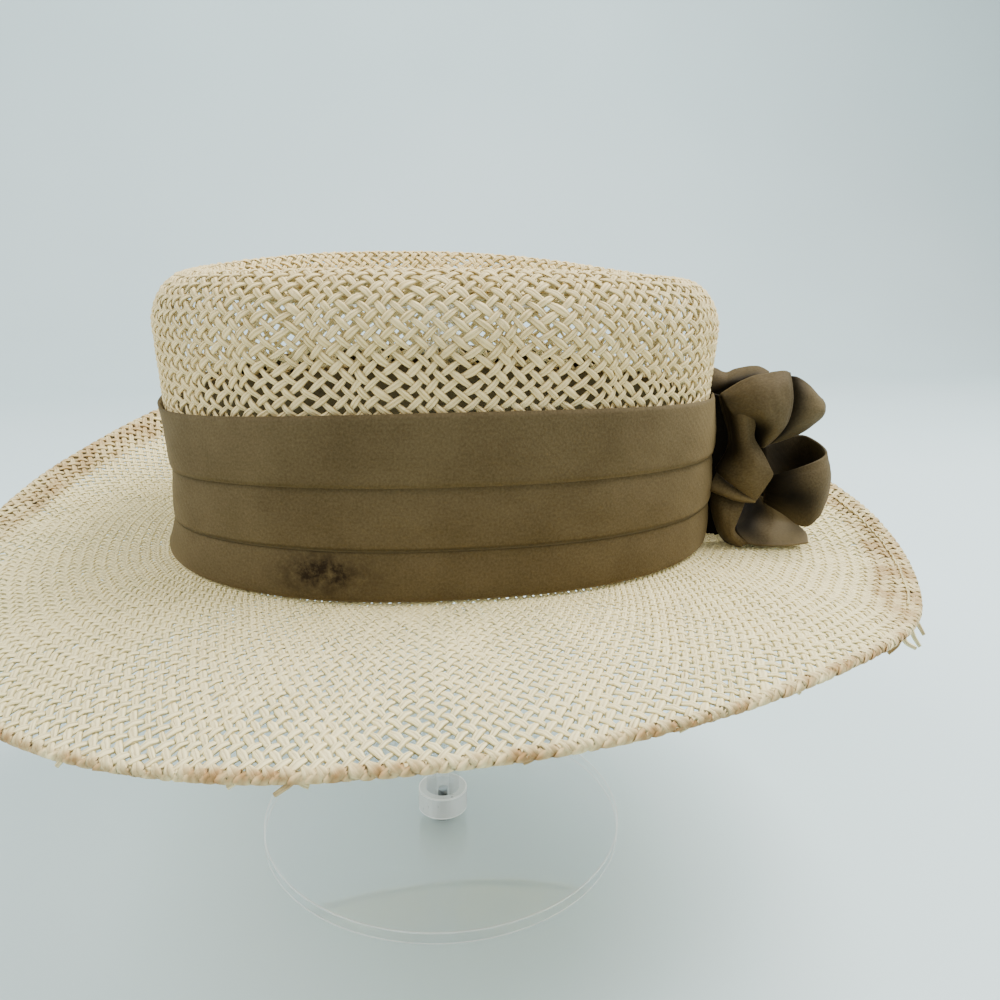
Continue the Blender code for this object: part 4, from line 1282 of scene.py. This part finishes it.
class HAT_OT_line_crown(bpy.types.Operator):
    """Lay the narrow cloth ribbon against the inside of the crown."""
    bl_idname = "straw_hat.line_crown"
    bl_label = "Line the crown"

    def execute(self, context):
        sizes = context.scene.hat_cloth
        grid = inner_ribbon_grid()
        surface = twill_material(sizes, "olive_twill_lining", False, 0.2)
        # The lining is evenly darkened a little by painted shade, as it sits in the crown's shade
        piece, width, length = sew_cloth(
            "inner_ribbon", grid, True, sizes.thickness, surface, None,
            soil=np.full(grid.shape[:2], 0.15))
        return {"FINISHED"}


class HAT_OT_gather_rosette(bpy.types.Operator):
    """Gather the rosette: loops and folds of one cloth ribbon around a stitched middle."""
    bl_idname = "straw_hat.gather_rosette"
    bl_label = "Gather the rosette"

    def execute(self, context):
        sizes = context.scene.hat_cloth
        surface = twill_material(sizes, "olive_twill_ribbon", False, 0.08)
        for seed, (name, rows) in enumerate(ROSETTE.items(), 60):
            # Each fold's fourth numbers become its painted shading: painted shade in the folds, painted
            # light on open faces below 0
            grid, soil = fold_grid(rows, steps=44, across=44)
            grid = gathers(grid, pleats=2, size=0.00012, start=1.0, end=0.5, seed=seed)
            piece, width, length = sew_cloth(
                f"rosette_{name}", grid, False, 1.6 * sizes.thickness, surface, "cloth_rosette",
                soil=soil)
        return {"FINISHED"}


class HAT_OT_finish_stand(bpy.types.Operator):
    """Give the stand's solids their acrylic and its screw its steel."""
    bl_idname = "straw_hat.finish_stand"
    bl_label = "Finish the stand"

    def execute(self, context):
        steel = screw_material()
        for name in ("stand_base", "stand_collar", "stand_post", "stand_top_disc", "stand_screw"):
            solid = bpy.data.objects.get(name)
            if solid is None:
                raise RuntimeError(f"the frame has no solid named {name}")
            # The collar is made whiter and cloudier all over: painted reflection
            painted_reflection = 0.85 if name == "stand_collar" else 0.0
            finish = steel if name == "stand_screw" else acrylic_material(
                f"polished_acrylic_{name}", name, edge=0.0006, painted_reflection=painted_reflection)
            for place in solid.material_slots:
                place.material = finish
        return {"FINISHED"}


class HAT_OT_set_stage(bpy.types.Operator):
    """Set up the floor, the backdrop, the lights and the camera."""
    bl_idname = "straw_hat.set_stage"
    bl_label = "Set the stage"

    def execute(self, context):
        sizes = context.scene.hat_stage
        add_camera()
        add_backdrop(sizes)
        middle = (0, 0, 0.15)
        add_light("key", (0.9, 0.1, 1.5), middle, size=1.1, power=sizes.key_power)
        add_light("fill", (-1.1, 0.0, 1.2), middle, size=1.1, power=sizes.fill_power)
        world = bpy.data.worlds.new("studio")
        context.scene.world = world
        world.use_nodes = True
        sky = world.node_tree.nodes["Background"]
        sky.inputs["Color"].default_value = linear("#E9EBE8")
        sky.inputs["Strength"].default_value = 1.18
        return {"FINISHED"}


def add_camera():
    """Camera with the photograph's focal length in its 1000 pixel frame."""
    data = bpy.data.cameras.new("camera")
    data.sensor_width = 36.0
    data.lens = FOCAL_PIXELS * data.sensor_width / (2 * HALF_FRAME)
    data.clip_start, data.clip_end = 0.01, 50.0
    camera = bpy.data.objects.new("camera", data)
    bpy.context.collection.objects.link(camera)
    camera.matrix_world = camera_matrix()
    bpy.context.scene.camera = camera


def add_backdrop(sizes):
    """Floor that turns up into a wall behind: a flat run, a quarter circle and a straight rise."""
    turn = np.linspace(0, math.pi / 2, 24)
    deep = np.concatenate([[-4.0], 1.2 + 0.6 * np.sin(turn), [1.8]])
    level = np.concatenate([[0.0], 0.6 * (1 - np.cos(turn)), [3.5]]) - 0.0002
    side = np.array((-4.0, 4.0))
    grid = np.stack(np.broadcast_arrays(side[None, :], deep[:, None], level[:, None]), axis=-1)
    index = np.arange(grid.shape[0] * 2).reshape(-1, 2)
    faces = np.stack([index[:-1, 0], index[:-1, 1], index[1:, 1], index[1:, 0]], axis=-1)
    floor = build_mesh("backdrop", grid.reshape(-1, 3), [faces])
    floor.data.materials.append(backdrop_material(sizes))


def add_light(name, place, target, size, power):
    """Square area light at a place, facing a target."""
    data = bpy.data.lights.new(name, "AREA")
    data.size = size
    data.energy = power
    lamp = bpy.data.objects.new(name, data)
    bpy.context.collection.objects.link(lamp)
    turn = (Vector(target) - Vector(place)).to_track_quat("-Z", "Y")
    lamp.matrix_world = Matrix.Translation(place) @ turn.to_matrix().to_4x4()


class VIEW3D_PT_straw_hat(bpy.types.Panel):
    """Steps that dress the hat, and the sizes and colours that they use."""
    bl_label = "Straw Hat"
    bl_space_type = "VIEW_3D"
    bl_region_type = "UI"
    bl_category = "Straw Hat"

    def draw(self, context):
        for step in STEPS:
            self.layout.operator(step.bl_idname)
        for name, group in GROUPS:
            for field in group.__annotations__:
                self.layout.prop(getattr(context.scene, name), field)


STEPS = (
    HAT_OT_weave_crown,
    HAT_OT_weave_brim,
    HAT_OT_fray_ends,
    HAT_OT_fold_band,
    HAT_OT_line_crown,
    HAT_OT_gather_rosette,
    HAT_OT_finish_stand,
    HAT_OT_set_stage,
)
GROUPS = (("straw_weave", WeaveSizes), ("hat_cloth", ClothSizes), ("hat_stage", StageSizes))


def register():
    """Register the groups of sizes, the steps and the panel."""
    for name, group in GROUPS:
        bpy.utils.register_class(group)
        setattr(bpy.types.Scene, name, PointerProperty(type=group))
    for step in (*STEPS, VIEW3D_PT_straw_hat):
        bpy.utils.register_class(step)


def unregister():
    """Take the panel, the steps and the groups away again."""
    for step in reversed((*STEPS, VIEW3D_PT_straw_hat)):
        bpy.utils.unregister_class(step)
    for name, group in reversed(GROUPS):
        delattr(bpy.types.Scene, name)
        bpy.utils.unregister_class(group)


def main():
    """Dress the hat step by step."""
    register()
    bpy.ops.straw_hat.weave_crown()
    bpy.ops.straw_hat.weave_brim()
    bpy.ops.straw_hat.fray_ends()
    bpy.ops.straw_hat.fold_band()
    bpy.ops.straw_hat.line_crown()
    bpy.ops.straw_hat.gather_rosette()
    bpy.ops.straw_hat.finish_stand()
    bpy.ops.straw_hat.set_stage()


if __name__ == "__main__":
    main()
